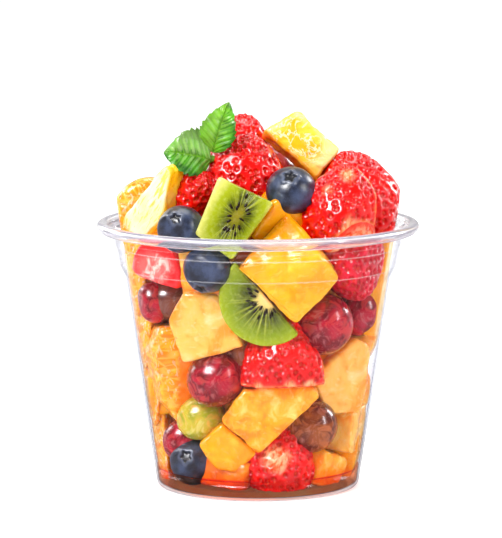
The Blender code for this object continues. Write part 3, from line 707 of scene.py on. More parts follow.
BLUEBERRIES = [
    # name, radius, (place, turn, tilt, roll), above the cup
    ("blueberry_left", 7.1, ((-22.8, -29.6, 81.9), 0, 50, -25), True),
    ("blueberry_top", 7.6, ((9.8, -22.5, 92.4), 0, 45, -4), True),
    ("blueberry_back_left", 7.2, ((-34.0, 14.5, 82.5), 0, -30, -30), True),
    ("blueberry_back_right", 7.2, ((37.0, 13.8, 83.5), 0, -20, 40), True),
    ("blueberry_high", 7.2, ((-15.0, -31.0, 70.2), 0, 150, 20), False),
    ("blueberry_low", 7.3, ((-19.4, -15.6, 9.8), 0, 60, -45), False),
]
for number, (name, radius, spot, above) in enumerate(BLUEBERRIES):
    mesh = blueberry_mesh(name, radius, 60 + number)
    node = name if above else "fruit_heap"
    add_piece(name, set_in_place(mesh, *spot), blueberry_finish, "blueberry", node)


# The grapes: red, brown and green ones with a thin bloom. The skin is smooth and the flesh lets light
# through. Each is a ball drawn out along its stalk, with the dimple that the stalk leaves.


def grape_mesh(name, radius, stretch, seed):
    mesh = ball(name, 5)
    unit = points_of(mesh)
    from_stalk = np.arccos(np.clip(unit[:, 2], -1, 1))
    dimple = np.exp(-((from_stalk / 0.13) ** 2))
    size = 1 - 0.05 * dimple + 0.012 * waves(unit, 0.9, seed)
    points = unit * (size * radius * MM)[:, None]
    points[:, 2] *= stretch
    set_points(mesh, points)
    mark_points(mesh, own_place=points / MM, dimple=dimple)
    return mesh


def grape_finish(name, deep, bright, pale, dusty):
    grape = Paint(name)
    place = grape.place()
    cloud = grape.noise(place, 0.13, 2.0, 0.5, 0.8)
    patch = grape.noise(place, 0.21, 3.0, 0.6, 1.2)
    streaks = grape.noise(grape.place((1.0, 1.0, 0.14)), 0.9, 3.0, 0.65)
    specks = grape.noise(place, 4.0, 2.0)
    skin = grape.over(
        deep,
        (cloud, 0.42, 0.58, 1, bright),
        (patch, 0.53, 0.60, 0.45, pale),
        (patch, 0.44, 0.34, 0.5, dusty),
        (streaks, 0.54, 0.78, 0.4, pale),
        (specks, 0.66, 0.74, 0.4, dusty),
    )
    skin = grape.mix(grape.mark("dimple"), skin, (120, 84, 50))
    relief = grape.bump(cloud + 0.2 * specks, 0.15 * MM, 0.3)
    gloss = grape.step(patch, 0.4, 0.6) * 0.14 + 0.18
    shader = grape.fruit(skin, gloss, relief, film=0.6, film_roughness=0.15, soft=0.35, depth=3.0)
    return grape.done(shader)


red_grape = grape_finish("red_grape", (112, 0, 18), (176, 6, 40), (214, 60, 50), (196, 110, 112))
brown_grape = grape_finish("brown_grape", (96, 30, 14), (146, 70, 26), (204, 110, 50), (196, 130, 110))
# Painted shade: a darker, browner copy of the grape colours, for the grape that lies in shadow beside
# grape_left.
shaded_grape = grape_finish("shaded_grape", (88, 40, 34), (120, 66, 50), (140, 84, 60), (130, 90, 84))
green_grape = grape_finish("green_grape", (158, 160, 30), (196, 176, 50), (232, 160, 60), (226, 214, 130))

GRAPES = [
    # name, radius, stretch, (place, turn, tilt, roll), finish
    ("grape_back", 8.2, 1.12, ((-5.5, 33.5, 85.0), 0, 20, 70), red_grape),
    ("grape_top", 8.0, 1.10, ((4.0, 17.0, 94.0), 0, 30, -60), red_grape),
    ("grape_left", 5.2, 1.24, ((-31.2, -13.6, 57.9), 0, 0, -12), red_grape),
    ("grape_shaded", 6.2, 1.10, ((-26.6, -13.0, 58.8), 0, 0, 70), shaded_grape),
    ("grape_right", 8.9, 1.06, ((19.5, -21.0, 52.3), 0, 0, 30), red_grape),
    ("grape_far_right", 6.8, 1.12, ((30.8, -8.0, 54.3), 0, 0, 10), red_grape),
    ("grape_mid", 8.5, 1.03, ((-12.7, -23.3, 36.2), 0, 0, 40), red_grape),
    ("grape_behind", 6.5, 1.10, ((-5.5, -20.0, 44.5), 0, 0, 20), brown_grape),
    ("green_grape", 6.6, 1.15, ((-17.2, -17.6, 23.4), 0, 0, 60), green_grape),
    ("grape_low_left", 6.4, 1.10, ((-22.4, -12.0, 15.6), 0, 0, 20), red_grape),
    ("grape_low_right", 8.2, 1.05, ((15.6, -17.5, 20.8), 0, 0, 70), brown_grape),
]
for number, (name, radius, stretch, spot, finish) in enumerate(GRAPES):
    mesh = grape_mesh(name, radius, stretch, 80 + number)
    node = name if name in ("grape_back", "grape_top") else "fruit_heap"
    add_piece(name, set_in_place(mesh, *spot), finish, "grape", node)


# The kiwi: a peeled cube, half a slice and chunks at the back, cut from plain shapes and wet on the
# cut. The pale core has rays of seeds round it, which are small dark grains set into the face.

CORNER_SKEW = 0.07
SKIN_ANGLE = math.radians(50)


def round_edges(bm, edges, rounding, segments):
    way = {"segments": segments, "profile": 0.5, "affect": "EDGES", "material": -1}
    bmesh.ops.bevel(bm, geom=edges, offset=rounding * MM, **way)


def cut_away(bm, point, normal):
    """Cuts off what lies on the side that normal points to, and closes the cut."""
    whole = bm.verts[:] + bm.edges[:] + bm.faces[:]
    bmesh.ops.bisect_plane(bm, geom=whole, plane_co=point, plane_no=normal, clear_outer=True)
    bmesh.ops.holes_fill(bm, edges=[e for e in bm.edges if e.is_boundary])


def slab(outline, depth, rounding, cuts=()):
    """A cut piece with a flat face at -y. Its outline is in mm, as (x, z) seen from the front."""
    bm = bmesh.new()
    front = [bm.verts.new((x * MM, -depth / 2 * MM, z * MM)) for x, z in outline]
    face = bm.faces.new(front)
    moved = bmesh.ops.extrude_face_region(bm, geom=[face])["geom"]
    for v in moved:
        if isinstance(v, bmesh.types.BMVert):
            v.co.y = depth / 2 * MM
    bmesh.ops.recalc_face_normals(bm, faces=bm.faces)
    for place, normal in cuts:
        cut_away(bm, Vector(place) * MM, Vector(normal))
    bmesh.ops.recalc_face_normals(bm, faces=bm.faces)
    round_edges(bm, bm.edges[:], rounding, 3)
    return bm


def block(width, depth, height, seed, rounding=1.6):
    """A hand-cut chunk: a box with uneven corners and rounded edges, its sizes in mm."""
    bm = bmesh.new()
    bmesh.ops.create_cube(bm, size=1.0)
    uneven = random.Random(seed)
    for v in bm.verts:
        for axis, size in enumerate((width, depth, height)):
            v.co[axis] = (v.co[axis] * size + uneven.uniform(-CORNER_SKEW, CORNER_SKEW) * size) * MM
    round_edges(bm, bm.edges[:], rounding, 3)
    return bm


def kiwi_half(radius, thickness):
    """Half a slice, its straight side along x and its round side at -z."""
    bm = bmesh.new()
    way = {"cap_ends": True, "segments": 72, "matrix": Matrix.Rotation(math.radians(90), 4, "X")}
    bmesh.ops.create_cone(bm, radius1=radius * MM, radius2=radius * MM, depth=thickness * MM, **way)
    cut_away(bm, (0, 0, 0), (0, 0, 1))
    bmesh.ops.recalc_face_normals(bm, faces=bm.faces)
    rim = [e for e in bm.edges if e.is_manifold and e.calc_face_angle() > SKIN_ANGLE]
    round_edges(bm, rim, 0.7, 2)
    return bm


def finely(bm, name, cell, uneven=(), seed=1):
    """Gives a chunk a fine mesh, and adds low swellings to it: (height, length) in mm."""
    bmesh.ops.recalc_face_normals(bm, faces=bm.faces)
    bmesh.ops.triangulate(bm, faces=bm.faces[:])
    for _ in range(8):
        long = [e for e in bm.edges if e.calc_length() > cell * MM]
        if not long:
            break
        bmesh.ops.subdivide_edges(bm, edges=long, cuts=1)
        bmesh.ops.triangulate(bm, faces=[f for f in bm.faces if len(f.verts) > 3])
    mesh = as_mesh(bm, name)
    points = points_of(mesh)
    lift = np.zeros(len(points))
    for step, (height, reach) in enumerate(uneven):
        lift += height * waves(points, reach * MM, seed * 10 + step)
    mark_points(mesh, relief=lift, own_place=points / MM)
    return mesh


def kiwi_rays(mesh, middle, reach, lean=0):
    """Marks how far each point lies from the core, where 1 is the fruit's skin, and in which way."""
    half_long, half_wide = reach
    points = points_of(mesh) / MM
    turn = math.radians(lean)
    x, z = points[:, 0] - middle[0], points[:, 2] - middle[1]
    long_way = (x * math.sin(turn) + z * math.cos(turn)) / half_long
    wide_way = (x * math.cos(turn) - z * math.sin(turn)) / half_wide
    mark_points(mesh, kiwi_rays=np.stack([wide_way, points[:, 1] / 12, long_way], axis=1))


def kiwi_paint(name, core, flesh, dark_flesh):
    """Kiwi flesh: rays run out from the core, dark between the seeds and paler further out."""
    kiwi = Paint(name)
    where = kiwi.mark("kiwi_rays", "Vector")
    flat = kiwi.scaled(where, (1, 0, 1))
    far = kiwi.length(flat)
    way = kiwi.node("VectorMath", {"operation": "NORMALIZE"}, {0: flat})
    fan = kiwi.noise(way, 8.0, 3.0, 0.65)
    grain = kiwi.noise(kiwi.place(), 0.8, 3.0)
    colour = kiwi.node("ValToRGB", {"stops": core + flesh}, {"Fac": far * 0.8 + 0.10 * (grain - 0.5)})
    band = kiwi.step(far, 0.16, 0.32) * kiwi.step(far, 1.05, 0.50)
    dark = kiwi.step(far, 0.14, 0.26) * kiwi.step(far, 0.70, 0.40)
    colour = kiwi.mix(kiwi.step(fan, 0.60, 0.42) * dark * 0.85, colour, dark_flesh)
    colour = kiwi.mix(kiwi.step(fan, 0.54, 0.66) * band * 0.5, colour, (206, 206, 84))
    colour = kiwi.mix(kiwi.step(grain, 0.60, 0.76) * 0.25, colour, (214, 216, 110))
    relief = kiwi.bump(fan * band + 0.5 * grain, 0.4 * MM, 0.5)
    gloss = kiwi.step(grain, 0.35, 0.65) * 0.15 + 0.18
    shader = kiwi.fruit(colour, gloss, relief, film=0.6, soft=0.25, reach=(0.9, 1.0, 0.15), depth=1.6)
    return kiwi.done(shader)


# How far out each colour lies, as a share of the way from the core to the skin.
kiwi_across = kiwi_paint(
    "kiwi_across",
    [(0.0, (250, 206, 140)), (0.16, (232, 204, 110)), (0.26, (104, 112, 4))],
    [(0.44, (104, 116, 2)), (0.62, (126, 144, 2)), (0.82, (160, 172, 8))],
    (26, 32, 2),
)
kiwi_lengthwise = kiwi_paint(
    "kiwi_lengthwise",
    [(0.0, (136, 124, 30)), (0.16, (120, 116, 14)), (0.30, (112, 120, 6))],
    [(0.46, (136, 148, 8)), (0.66, (156, 166, 18)), (0.90, (206, 204, 104))],
    (56, 62, 4),
)

pip = Paint("kiwi_seed")
pip_colour = pip.mix(pip.noise(pip.place(), 2.0), (14, 6, 2), (44, 20, 8))
pip_finish = pip.done(pip.fruit(pip_colour, 0.3, None, soft=0.0, film=0.0, gloss=0.25))


def kiwi_seeds(name, count, middle, reach, lean, front, seed, rings, keep_below=None):
    """Seeds on a kiwi's cut face: drop-shaped grains that point at the core, in three uneven rings."""
    half_long, half_wide = reach
    chance = random.Random(seed)
    turn = math.radians(lean)
    bm = bmesh.new()
    for number in range(count):
        angle = 2 * math.pi * (number + chance.uniform(-0.3, 0.3)) / count
        far = rings[number % len(rings)] + chance.uniform(-0.05, 0.05)
        wide_way, long_way = far * math.cos(angle) * half_wide, far * math.sin(angle) * half_long
        x = middle[0] + wide_way * math.cos(turn) + long_way * math.sin(turn)
        z = middle[1] - wide_way * math.sin(turn) + long_way * math.cos(turn)
        if keep_below is not None and z > keep_below:
            continue
        heading = math.atan2(z - middle[1], x - middle[0])
        shape = Matrix.Diagonal((chance.uniform(0.75, 1.0), 0.30, chance.uniform(0.33, 0.42), 1.0))
        place = Matrix.Translation((x * MM, (front - 0.02) * MM, z * MM))
        matrix = place @ Matrix.Rotation(-heading, 4, "Y") @ shape
        bmesh.ops.create_icosphere(bm, subdivisions=2, radius=1.0 * MM, matrix=matrix)
    mesh = as_mesh(bm, name)
    mark_points(mesh, own_place=points_of(mesh) / MM)
    return mesh


KIWI_CUBE = [(-4.8, 12.1), (11.3, 4.3), (2.0, -8.6), (-1.0, -12.6), (-12.1, -4.9)]
CUBE_HEART = (0.5, 0.3)
CUBE_REACH = (16.0, 8.0)
CUBE_LEAN = 29
kiwi_cube_at = ((-6.6, -30.4, 85.4), -1, -8, 0)
kiwi_cube = finely(slab(KIWI_CUBE, 12, 0.9), "kiwi_cube", 0.5, [(0.10, 5)], 5)
kiwi_rays(kiwi_cube, CUBE_HEART, CUBE_REACH, CUBE_LEAN)
add_piece("kiwi_cube", set_in_place(kiwi_cube, *kiwi_cube_at), kiwi_lengthwise, "kiwi", "kiwi_cube")
cube_rings = (0.24, 0.37, 0.30)
cube_seeds = kiwi_seeds("kiwi_cube_seeds", 15, CUBE_HEART, CUBE_REACH, CUBE_LEAN, -6.0, 7, cube_rings)
add_piece("kiwi_cube_seeds", set_in_place(cube_seeds, *kiwi_cube_at), pip_finish, "kiwi")

SLICE_RADIUS = 14.3
SLICE_REACH = (SLICE_RADIUS, SLICE_RADIUS)
kiwi_slice_at = ((2.7, -30.0, 61.8), 0, 0, 49)
kiwi_slice = finely(kiwi_half(SLICE_RADIUS, 8), "kiwi_slice", 0.5, [(0.10, 5)], 6)
kiwi_rays(kiwi_slice, (0.0, 0.0), SLICE_REACH)
add_piece("kiwi_slice", set_in_place(kiwi_slice, *kiwi_slice_at), kiwi_across, "kiwi", "fruit_heap")
slice_rings = (0.27, 0.40, 0.33)
slice_seeds = kiwi_seeds("kiwi_slice_seeds", 34, (0.0, 0.0), SLICE_REACH, 0, -4.0, 8, slice_rings, -0.6)
add_piece("kiwi_slice_seeds", set_in_place(slice_seeds, *kiwi_slice_at), pip_finish, "kiwi")

kiwi_back = finely(block(15, 12, 15, 41, 1.0), "kiwi_back", 0.8, [(0.15, 5)], 7)
kiwi_rays(kiwi_back, (1.0, 0.5), (15.0, 13.0), 10)
kiwi_back_at = ((-21.5, 26.5, 84.5), 40, -12, -20)
add_piece("kiwi_back", set_in_place(kiwi_back, *kiwi_back_at), kiwi_across, "kiwi", "kiwi_back")


# The mango and the melon: smooth juicy flesh, mango a deep yellow and melon a pale orange, with soft
# cloudy patches and fine fibres. They are plain blocks and cut outlines with rounded, uneven faces.


def smooth_flesh(name, deep, main, pale, blotches=0.12):
    flesh = Paint(name)
    place = flesh.place()
    cloud = flesh.noise(place, blotches, 3.0, 0.55, 0.6)
    fibre = flesh.noise(flesh.place((1.0, 0.6, 0.22)), 1.3, 4.0, 0.65)
    spots = flesh.noise(flesh.place((0.7, 1.0, 1.0)), 0.5, 2.0, 0.5, 0.8)
    colour = flesh.over(
        deep,
        (cloud, 0.34, 0.52, 1, main),
        (cloud, 0.52, 0.74, 1, pale),
        (fibre, 0.50, 0.75, 0.2, pale),
        (spots, 0.60, 0.74, 0.45, pale),
    )
    relief = flesh.bump(0.3 * fibre + cloud + 0.6 * spots, 0.5 * MM, 0.5)
    gloss = flesh.step(spots, 0.3, 0.7) * 0.14 + 0.16
    shader = flesh.fruit(colour, gloss, relief, film=0.6, soft=0.3, reach=(1.0, 0.5, 0.06), depth=2.2)
    return flesh.done(shader)


mango_finish = smooth_flesh("mango", (248, 148, 0), (253, 168, 4), (255, 198, 50))
mango_warm = smooth_flesh("mango_warm", (244, 130, 4), (253, 162, 20), (255, 210, 112), 0.20)
mango_deep = smooth_flesh("mango_deep", (206, 84, 4), (232, 116, 6), (250, 160, 40))
melon_finish = smooth_flesh("melon", (252, 144, 24), (255, 186, 80), (255, 220, 150))
melon_cream = smooth_flesh("melon_cream", (255, 148, 34), (255, 184, 84), (255, 216, 150))

MANGO_CUBE = [(-0.4, 16.4), (6.5, 8.4), (15.1, -3.1), (1.95, -16.4), (-14.9, 0.65)]
MANGO_FACET = [((-14.9, -7.5, 0.65), (-0.10, -0.82, 0.56))]
MANGO_SLAB = [(-8.0, 9.8), (12.5, 10.7), (14.8, 7.4), (-3.3, -9.8), (-14.5, 0.3)]
MANGO_LOW = [(-1.9, 4.7), (-9.0, -1.8), (-3.1, -9.5), (1.9, -10.4), (9.1, -4.7)]
CHUNKS = [
    # name, form, (place, turn, tilt, roll), finish, above the cup
    ("mango_front", slab(MANGO_CUBE, 15, 1.5, MANGO_FACET), ((9.3, -28.6, 70.6),), mango_finish, True),
    ("mango_left", block(15, 14, 14, 39), ((-18.0, 3.5, 88.5), 25, 10, 20), mango_finish, True),
    ("mango_back_right", block(16, 14, 14, 45), ((23.0, 14.5, 90.5), 35, -10, 15), mango_finish, True),
    ("mango_under", block(15, 14, 14, 17), ((-23.5, -12.5, 78.0), -35), mango_finish, False),
    ("mango_behind", block(17, 14, 17, 23), ((-13.5, -20.5, 67.0), -20), mango_warm, False),
    ("melon_mid", block(17, 12, 15, 35), ((6.6, -20.0, 82.6), 20, 10, 30), mango_finish, False),
    ("mango_slab", slab(MANGO_SLAB, 12, 1.1), ((3.6, -24.2, 24.1),), mango_warm, False),
    ("mango_low", slab(MANGO_LOW, 10, 1.1), ((-8.9, -20.6, 18.2),), mango_finish, False),
    ("melon_bottom", block(13, 11, 11, 19), ((18.5, -13.0, 8.2), 52, 0, 24), mango_warm, False),
    ("melon_low_right", block(14, 11, 14, 15), ((26.5, -8.0, 18.6), 70, 0, 5), melon_finish, False),
    ("mango_foot", block(15, 11, 10, 13), ((-8.4, -18.0, 6.6), -20, 0, 8), mango_deep, False),
]
for number, (name, form, spot, finish, above) in enumerate(CHUNKS):
    cell = 0.7 if name == "mango_front" else 0.8
    mesh = finely(form, name, cell, [(0.24, 6), (0.10, 2.4)], 20 + number)
    add_piece(name, set_in_place(mesh, *spot), finish, "mango", name if above else "fruit_heap")


# The pineapple: pale yellow wedges and chunks, with faces rougher than those of the other fruit. Each
# is a chunk with coarse fibres raised one way over it, or, cut across, netted with fine threads.


def fibrous(mesh, way, face, seed, rough=0.16):
    """Raises fibres along one way over a chunk, and marks its pale cut face, which looks along face."""
    points = points_of(mesh)
    run = np.array(Vector(way).normalized())
    along = (points @ run)[:, None] * run
    squeezed = points - along * 0.80
    lift = np.empty(len(points))
    mesh.attributes["relief"].data.foreach_get("value", lift)
    lift += rough * waves(squeezed, 1.6 * MM, seed) + 0.6 * rough * waves(squeezed, 0.9 * MM, seed + 1)
    lift -= 2.2 * rough * np.clip(waves(points, 2.6 * MM, seed + 2) - 1.0, 0, 1)
    mesh.attributes["relief"].data.foreach_set("value", lift.astype(np.float32))
    mark_points(mesh, fibre_place=squeezed / MM)
    towards = normals_of(mesh) @ np.array(Vector(face).normalized())
    mark_points(mesh, cut_face=np.clip((towards - 0.55) / 0.3, 0, 1))
    return mesh


def fibrous_flesh(name, pale, main, deep, side):
    flesh = Paint(name)
    where = flesh.mark("fibre_place", "Vector")
    face = flesh.mark("cut_face")
    strands = flesh.noise(where, 0.85, 4.0, 0.62, 0.6)
    cloud = flesh.noise(flesh.place(), 0.16, 2.0)
    colour = flesh.over(
        main,
        (cloud, 0.36, 0.64, 1, pale),
        (strands, 0.52, 0.59, 0.9, deep),
        (strands, 0.42, 0.32, 0.6, (255, 248, 214)),
    )
    # The cut face is paler and the other faces smoother and deeper golden: partly the flesh's own look across
    # and along its fibres, partly painted light on the face and painted shade on the sides.
    smooth = flesh.mix(flesh.step(cloud, 0.40, 0.80) * 0.5, side, main)
    colour = flesh.mix(face, smooth, colour)
    pores = flesh.noise(flesh.place(), 1.2, 3.0, 0.6)
    relief = flesh.bump(strands * (face * 0.8 + 0.2) + 0.5 * pores, 0.5 * MM, 0.5)
    gloss = flesh.step(strands, 0.35, 0.65) * 0.2 + 0.22
    shader = flesh.fruit(colour, gloss, relief, film=0.4, soft=0.25, reach=(1.0, 0.8, 0.5), depth=2.0)
    return flesh.done(shader)


def netted_flesh(name, ground, deep, thread, rim, side):
    """Pineapple cut across: a golden middle with fine white threads, a pale rim, and painted shade to the
    lower left.
    """
    flesh = Paint(name)
    place = flesh.place()
    face = flesh.mark("cut_face")
    cloud = flesh.noise(place, 0.2, 2.0)
    tangle = flesh.noise(place, 0.20, 3.0, 0.55, 1.6)
    off_line = flesh.node("Math", {"operation": "ABSOLUTE"}, {0: tangle - 0.5})
    threads = flesh.step(off_line, 0.045, 0.010)
    far = flesh.length(flesh.place((0.10, 0.0, 0.11)))
    border = flesh.step(far + 0.7 * (cloud - 0.5), 0.60, 1.0) * 0.85
    colour = flesh.mix(flesh.step(cloud, 0.40, 0.62), deep, ground)
    colour = flesh.mix(threads * 0.75, colour, thread)
    colour = flesh.mix(border, colour, rim)
    # Painted shade: towards the lower left the face turns to the deeper golden side colour.
    down_left = {0: place, 1: (-0.5, 0.0, -0.86)}
    lower_left = flesh.node("VectorMath", {"operation": "DOT_PRODUCT"}, down_left, "Value")
    colour = flesh.mix(flesh.step(lower_left + 6.0 * (cloud - 0.5), 2.5, 5.0) * 0.8, colour, side)
    # The other faces are deeper golden, partly the flesh's own look and partly painted shade.
    smooth = flesh.mix(flesh.step(cloud, 0.36, 0.64), side, ground)
    colour = flesh.mix(face, smooth, colour)
    relief = flesh.bump(threads * face + 0.4 * cloud, 0.3 * MM, 0.5)
    shader = flesh.fruit(colour, 0.26, relief, film=0.5, soft=0.3, reach=(1.0, 0.6, 0.1), depth=2.0)
    return flesh.done(shader)


PALE = [(255, 240, 196), (255, 230, 164), (255, 204, 60), (255, 194, 16)]
GOLD = [(255, 214, 130), (255, 198, 84), (255, 172, 36), (255, 166, 20)]
NETTED = [(255, 208, 60), (255, 186, 12), (255, 246, 204), (255, 236, 160), (255, 178, 10)]
pineapple_pale = fibrous_flesh("pineapple_pale", *PALE)
pineapple_gold = fibrous_flesh("pineapple_gold", *GOLD)
pineapple_netted = netted_flesh("pineapple_netted", *NETTED)

WEDGE = [(6.3, 12.5), (8.4, 10.7), (5.2, -3.4), (-0.6, -9.3), (-4.6, -9.0), (-12.3, -7.2)]
TOP = [(0.4, 9.0), (13.0, -2.9), (5.9, -11.5), (-10.1, 2.9)]
MID = [(-6.8, 8.6), (-11.3, -0.6), (-7.1, -13.0), (11.6, -7.7), (3.9, 8.0)]
LOW = [(2.7, 12.1), (7.0, 10.3), (8.5, 5.0), (8.0, -5.0), (4.5, -11.5), (-7.0, -10.5), (-11.6, 1.0)]
BACK = block(16, 14, 13, 43)
TO_FRONT = (0, -1, 0)
TO_TOP = (0, 0, 1)
PINEAPPLES = [
    # name, form, cell, fibre way, (place, turn, tilt, roll), finish, above the cup
    ("wedge", slab(WEDGE, 12, 1), 0.5, (0.55, 0.1, 0.83), ((-29.4, -14.4, 87.9), -35), pineapple_pale, True),
    ("top", slab(TOP, 13, 1.2), 0.5, (0.1, 1, 0.1), ((11.4, 3.4, 104.2), 5, -14), pineapple_netted, True),
    ("back", BACK, 0.6, (0.2, 0.9, 0.2), ((-15.5, 17.5, 94.5), 30, -25, -15), pineapple_pale, True),
    ("right", block(13, 13, 30, 3), 1.0, (0.1, 0.2, 0.9), ((36, -5, 63), 80, 0, 8), pineapple_gold, False),
    ("mid", slab(MID, 13, 1.2), 0.7, (0.8, 0.1, 0.4), ((-14.6, -22.5, 54.4), -10), melon_cream, False),
    ("low", slab(LOW, 12, 1.2), 0.7, (0.5, 0.1, 0.9), ((24.5, -9.5, 35.1), 25), melon_cream, False),
]
for number, (part, form, cell, way, spot, finish, above) in enumerate(PINEAPPLES):
    name = f"pineapple_{part}"
    face = TO_TOP if part == "back" else TO_FRONT
    rough = {pineapple_pale: 0.16, melon_cream: 0.05}.get(finish, 0.08)
    mesh = fibrous(finely(form, name, cell, [(0.22, 5)], 40 + number), way, face, 50 + number, rough)
    add_piece(name, set_in_place(mesh, *spot), finish, "pineapple", name if above else "fruit_heap")


# The orange: peeled segments in their thin skin, each a ball bent into shape, and one cut piece.
# Juice sacs show through, their edges painted pale as highlight, and threads of white pith still cling to the
# skin.

SEGMENT_BEND = 0.42


def segment_mesh(name, length, depth, thickness, seed):
    """A segment: its round back at -x, its thin inner edge at +x, its ends at z."""
    mesh = ball(name, 6)
    unit = points_of(mesh)
    x, y, z = unit.T
    thin = 1 - 0.4 * (x + 1)
    bent = (x + SEGMENT_BEND * z * z) * depth / 2
    points = np.stack([bent, y * thin * thickness / 2, z * length / 2], axis=1) * MM
    points += unit * (0.14 * MM * waves(points, 2.5 * MM, seed))[:, None]
    set_points(mesh, points)
    mark_points(mesh, own_place=points / MM)
    return mesh


def orange_flesh(name, pith_share, bare_from=99.0):
    """Juice sacs under a thin skin with threads of pith. Past bare_from along x it is smooth and deep."""
    flesh = Paint(name)
    sacs = {"Vector": flesh.place((0.40, 1.0, 0.8)), "Scale": 0.50, "Randomness": 0.9}
    sac_edge = flesh.node("TexVoronoi", {"feature": "DISTANCE_TO_EDGE"}, sacs)
    sac_hue = flesh.noise(flesh.place((0.34, 1.0, 1.0)), 0.5, 2.0)
    colour = flesh.mix(flesh.step(sac_hue, 0.35, 0.65), (255, 138, 0), (255, 172, 14))
    # Painted highlight: the edges of the juice sacs are turned pale yellow.
    colour = flesh.mix(flesh.step(sac_edge, 0.12, 0.02) * 0.55, colour, (255, 200, 84))
    threads = flesh.noise(flesh.place((0.5, 0.5, 0.28)), 1.1, 3.0, 0.6, 1.5)
    bare = flesh.step(flesh.along(flesh.place(), "X"), bare_from, bare_from + 2.0)
    pith = flesh.step(threads, 0.58, 0.64) * pith_share * (1 - bare)
    colour = flesh.mix(bare, colour, (255, 128, 0))
    colour = flesh.mix(pith, colour, (255, 240, 212))
    relief = flesh.bump(flesh.step(sac_edge, 0.0, 0.35) * (1 - bare) + 0.6 * pith, 0.5 * MM, 0.6)
    shader = flesh.fruit(colour, 0.26, relief, film=0.7, soft=0.3, reach=(1.0, 0.45, 0.05), depth=2.0)
    return flesh.done(shader)


orange_finish = orange_flesh("orange", 0.6)
orange_part_bare = orange_flesh("orange_part_bare", 0.42, 0.5)

SEGMENTS = [
    # name, length, depth, thickness, (place, turn, tilt, roll), node
    ("orange_left", 25, 17, 12, ((-34.9, -2.0, 85.0), 0, 0, 40), "orange_left"),
    ("orange_back_right", 24, 15, 12, ((28.5, 26.0, 83.5), 160, 0, 60), "orange_back_right"),
    ("orange_top_left", 28, 16, 15, ((-36.2, -3.5, 67.5), -70, 0, 8), "fruit_heap"),
    ("orange_edge_left", 27, 16, 15, ((-33.8, -3, 50), -80, 0, 6), "fruit_heap"),
    ("orange_side_left", 26, 15, 14, ((-31.0, -3, 32), -80, 0, 4), "fruit_heap"),
    ("orange_low_left", 26, 14, 13, ((-28.6, -1.5, 14), -85, 0, -5), "fruit_heap"),
]
for number, (name, length, depth, thickness, spot, node) in enumerate(SEGMENTS):
    mesh = segment_mesh(name, length, depth, thickness, 90 + number)
    add_piece(name, set_in_place(mesh, *spot), orange_finish, "orange", node)

ORANGE_RIGHT = [(-4.2, 14.4), (1.0, 14.4), (6.0, 5.0), (7.6, -2.0), (5.6, -9.4)]
ORANGE_LEFT = [(1.5, -15.4), (-4.6, -6.5), (-7.4, 5.5)]
orange_low = finely(slab(ORANGE_RIGHT + ORANGE_LEFT, 12, 1.6), "orange_low", 0.6, [(0.25, 4), (0.1, 1.6)], 97)
orange_low = set_in_place(orange_low, (-26.5, -11.5, 36.5), 12)
add_piece("orange_low", orange_low, orange_part_bare, "orange", "fruit_heap")


# The half berry behind the wall at the left: a strawberry cut through its middle, made as a thick
# slab pressed on the plastic. Its face is pink and watery with pale rays, and red towards the edge.

HALF_BERRY = [(-5.4, 6.6), (7.2, 6.4), (10.2, -0.3), (9.0, -6.0), (-3.0, -3.9), (-9.6, -1.5)]
half_berry = finely(slab(HALF_BERRY, 9, 1.2), "half_berry_left", 0.6, [(0.15, 4)], 71)
half_face = Paint("cut_strawberry")
half_rays = half_face.noise(half_face.place((0.7, 0.3, 0.6)), 0.42, 4.0, 0.6, 0.8)
half_far = half_face.length(half_face.place((0.13, 0.0, 0.19)))
half_heart = half_face.step(half_far + 1.2 * (half_rays - 0.5), 0.95, 0.35)
half_colour = half_face.mix(half_heart, (232, 24, 28), (244, 96, 90))
half_pale = half_face.step(half_rays, 0.42, 0.64) * half_face.step(half_far, 1.15, 0.5)
half_colour = half_face.mix(half_pale, half_colour, (255, 204, 190))
half_relief = half_face.bump(half_rays, 0.4 * MM, 0.5)
half_wet = {"film": 0.6, "soft": 0.35, "reach": (1.0, 0.3, 0.2)}
half_finish = half_face.done(half_face.fruit(half_colour, 0.25, half_relief, **half_wet))
half_berry = set_in_place(half_berry, (-29.0, -15.5, 69.1), -35)
add_piece("half_berry_left", half_berry, half_finish, "strawberry", "fruit_heap")


# The sides and back of the heap: the same fruit with the same finishes, in four staggered rows. Each
# piece is made as those in front are, turned by chance and pressed on the wall.

BACK_ROWS = [11.0, 29.0, 47.0, 65.0]
BACK_BEARINGS = [94, 121, 150, 180, 210, 239, 266]
BACK_KINDS = ["mango", "strawberry", "grape", "pineapple", "kiwi", "orange", "blueberry", "melon"]
BACK_INSET = 6.8
STAGGER = 14


def against_wall(bearing, height, inset):
    """A place in mm, from its bearing round the cup, its height and its depth in from the wall."""
    radius = BASE_RADIUS - WALL + TAPER * height - inset
    angle = math.radians(bearing)
    return (radius * math.sin(angle), -radius * math.cos(angle), height)


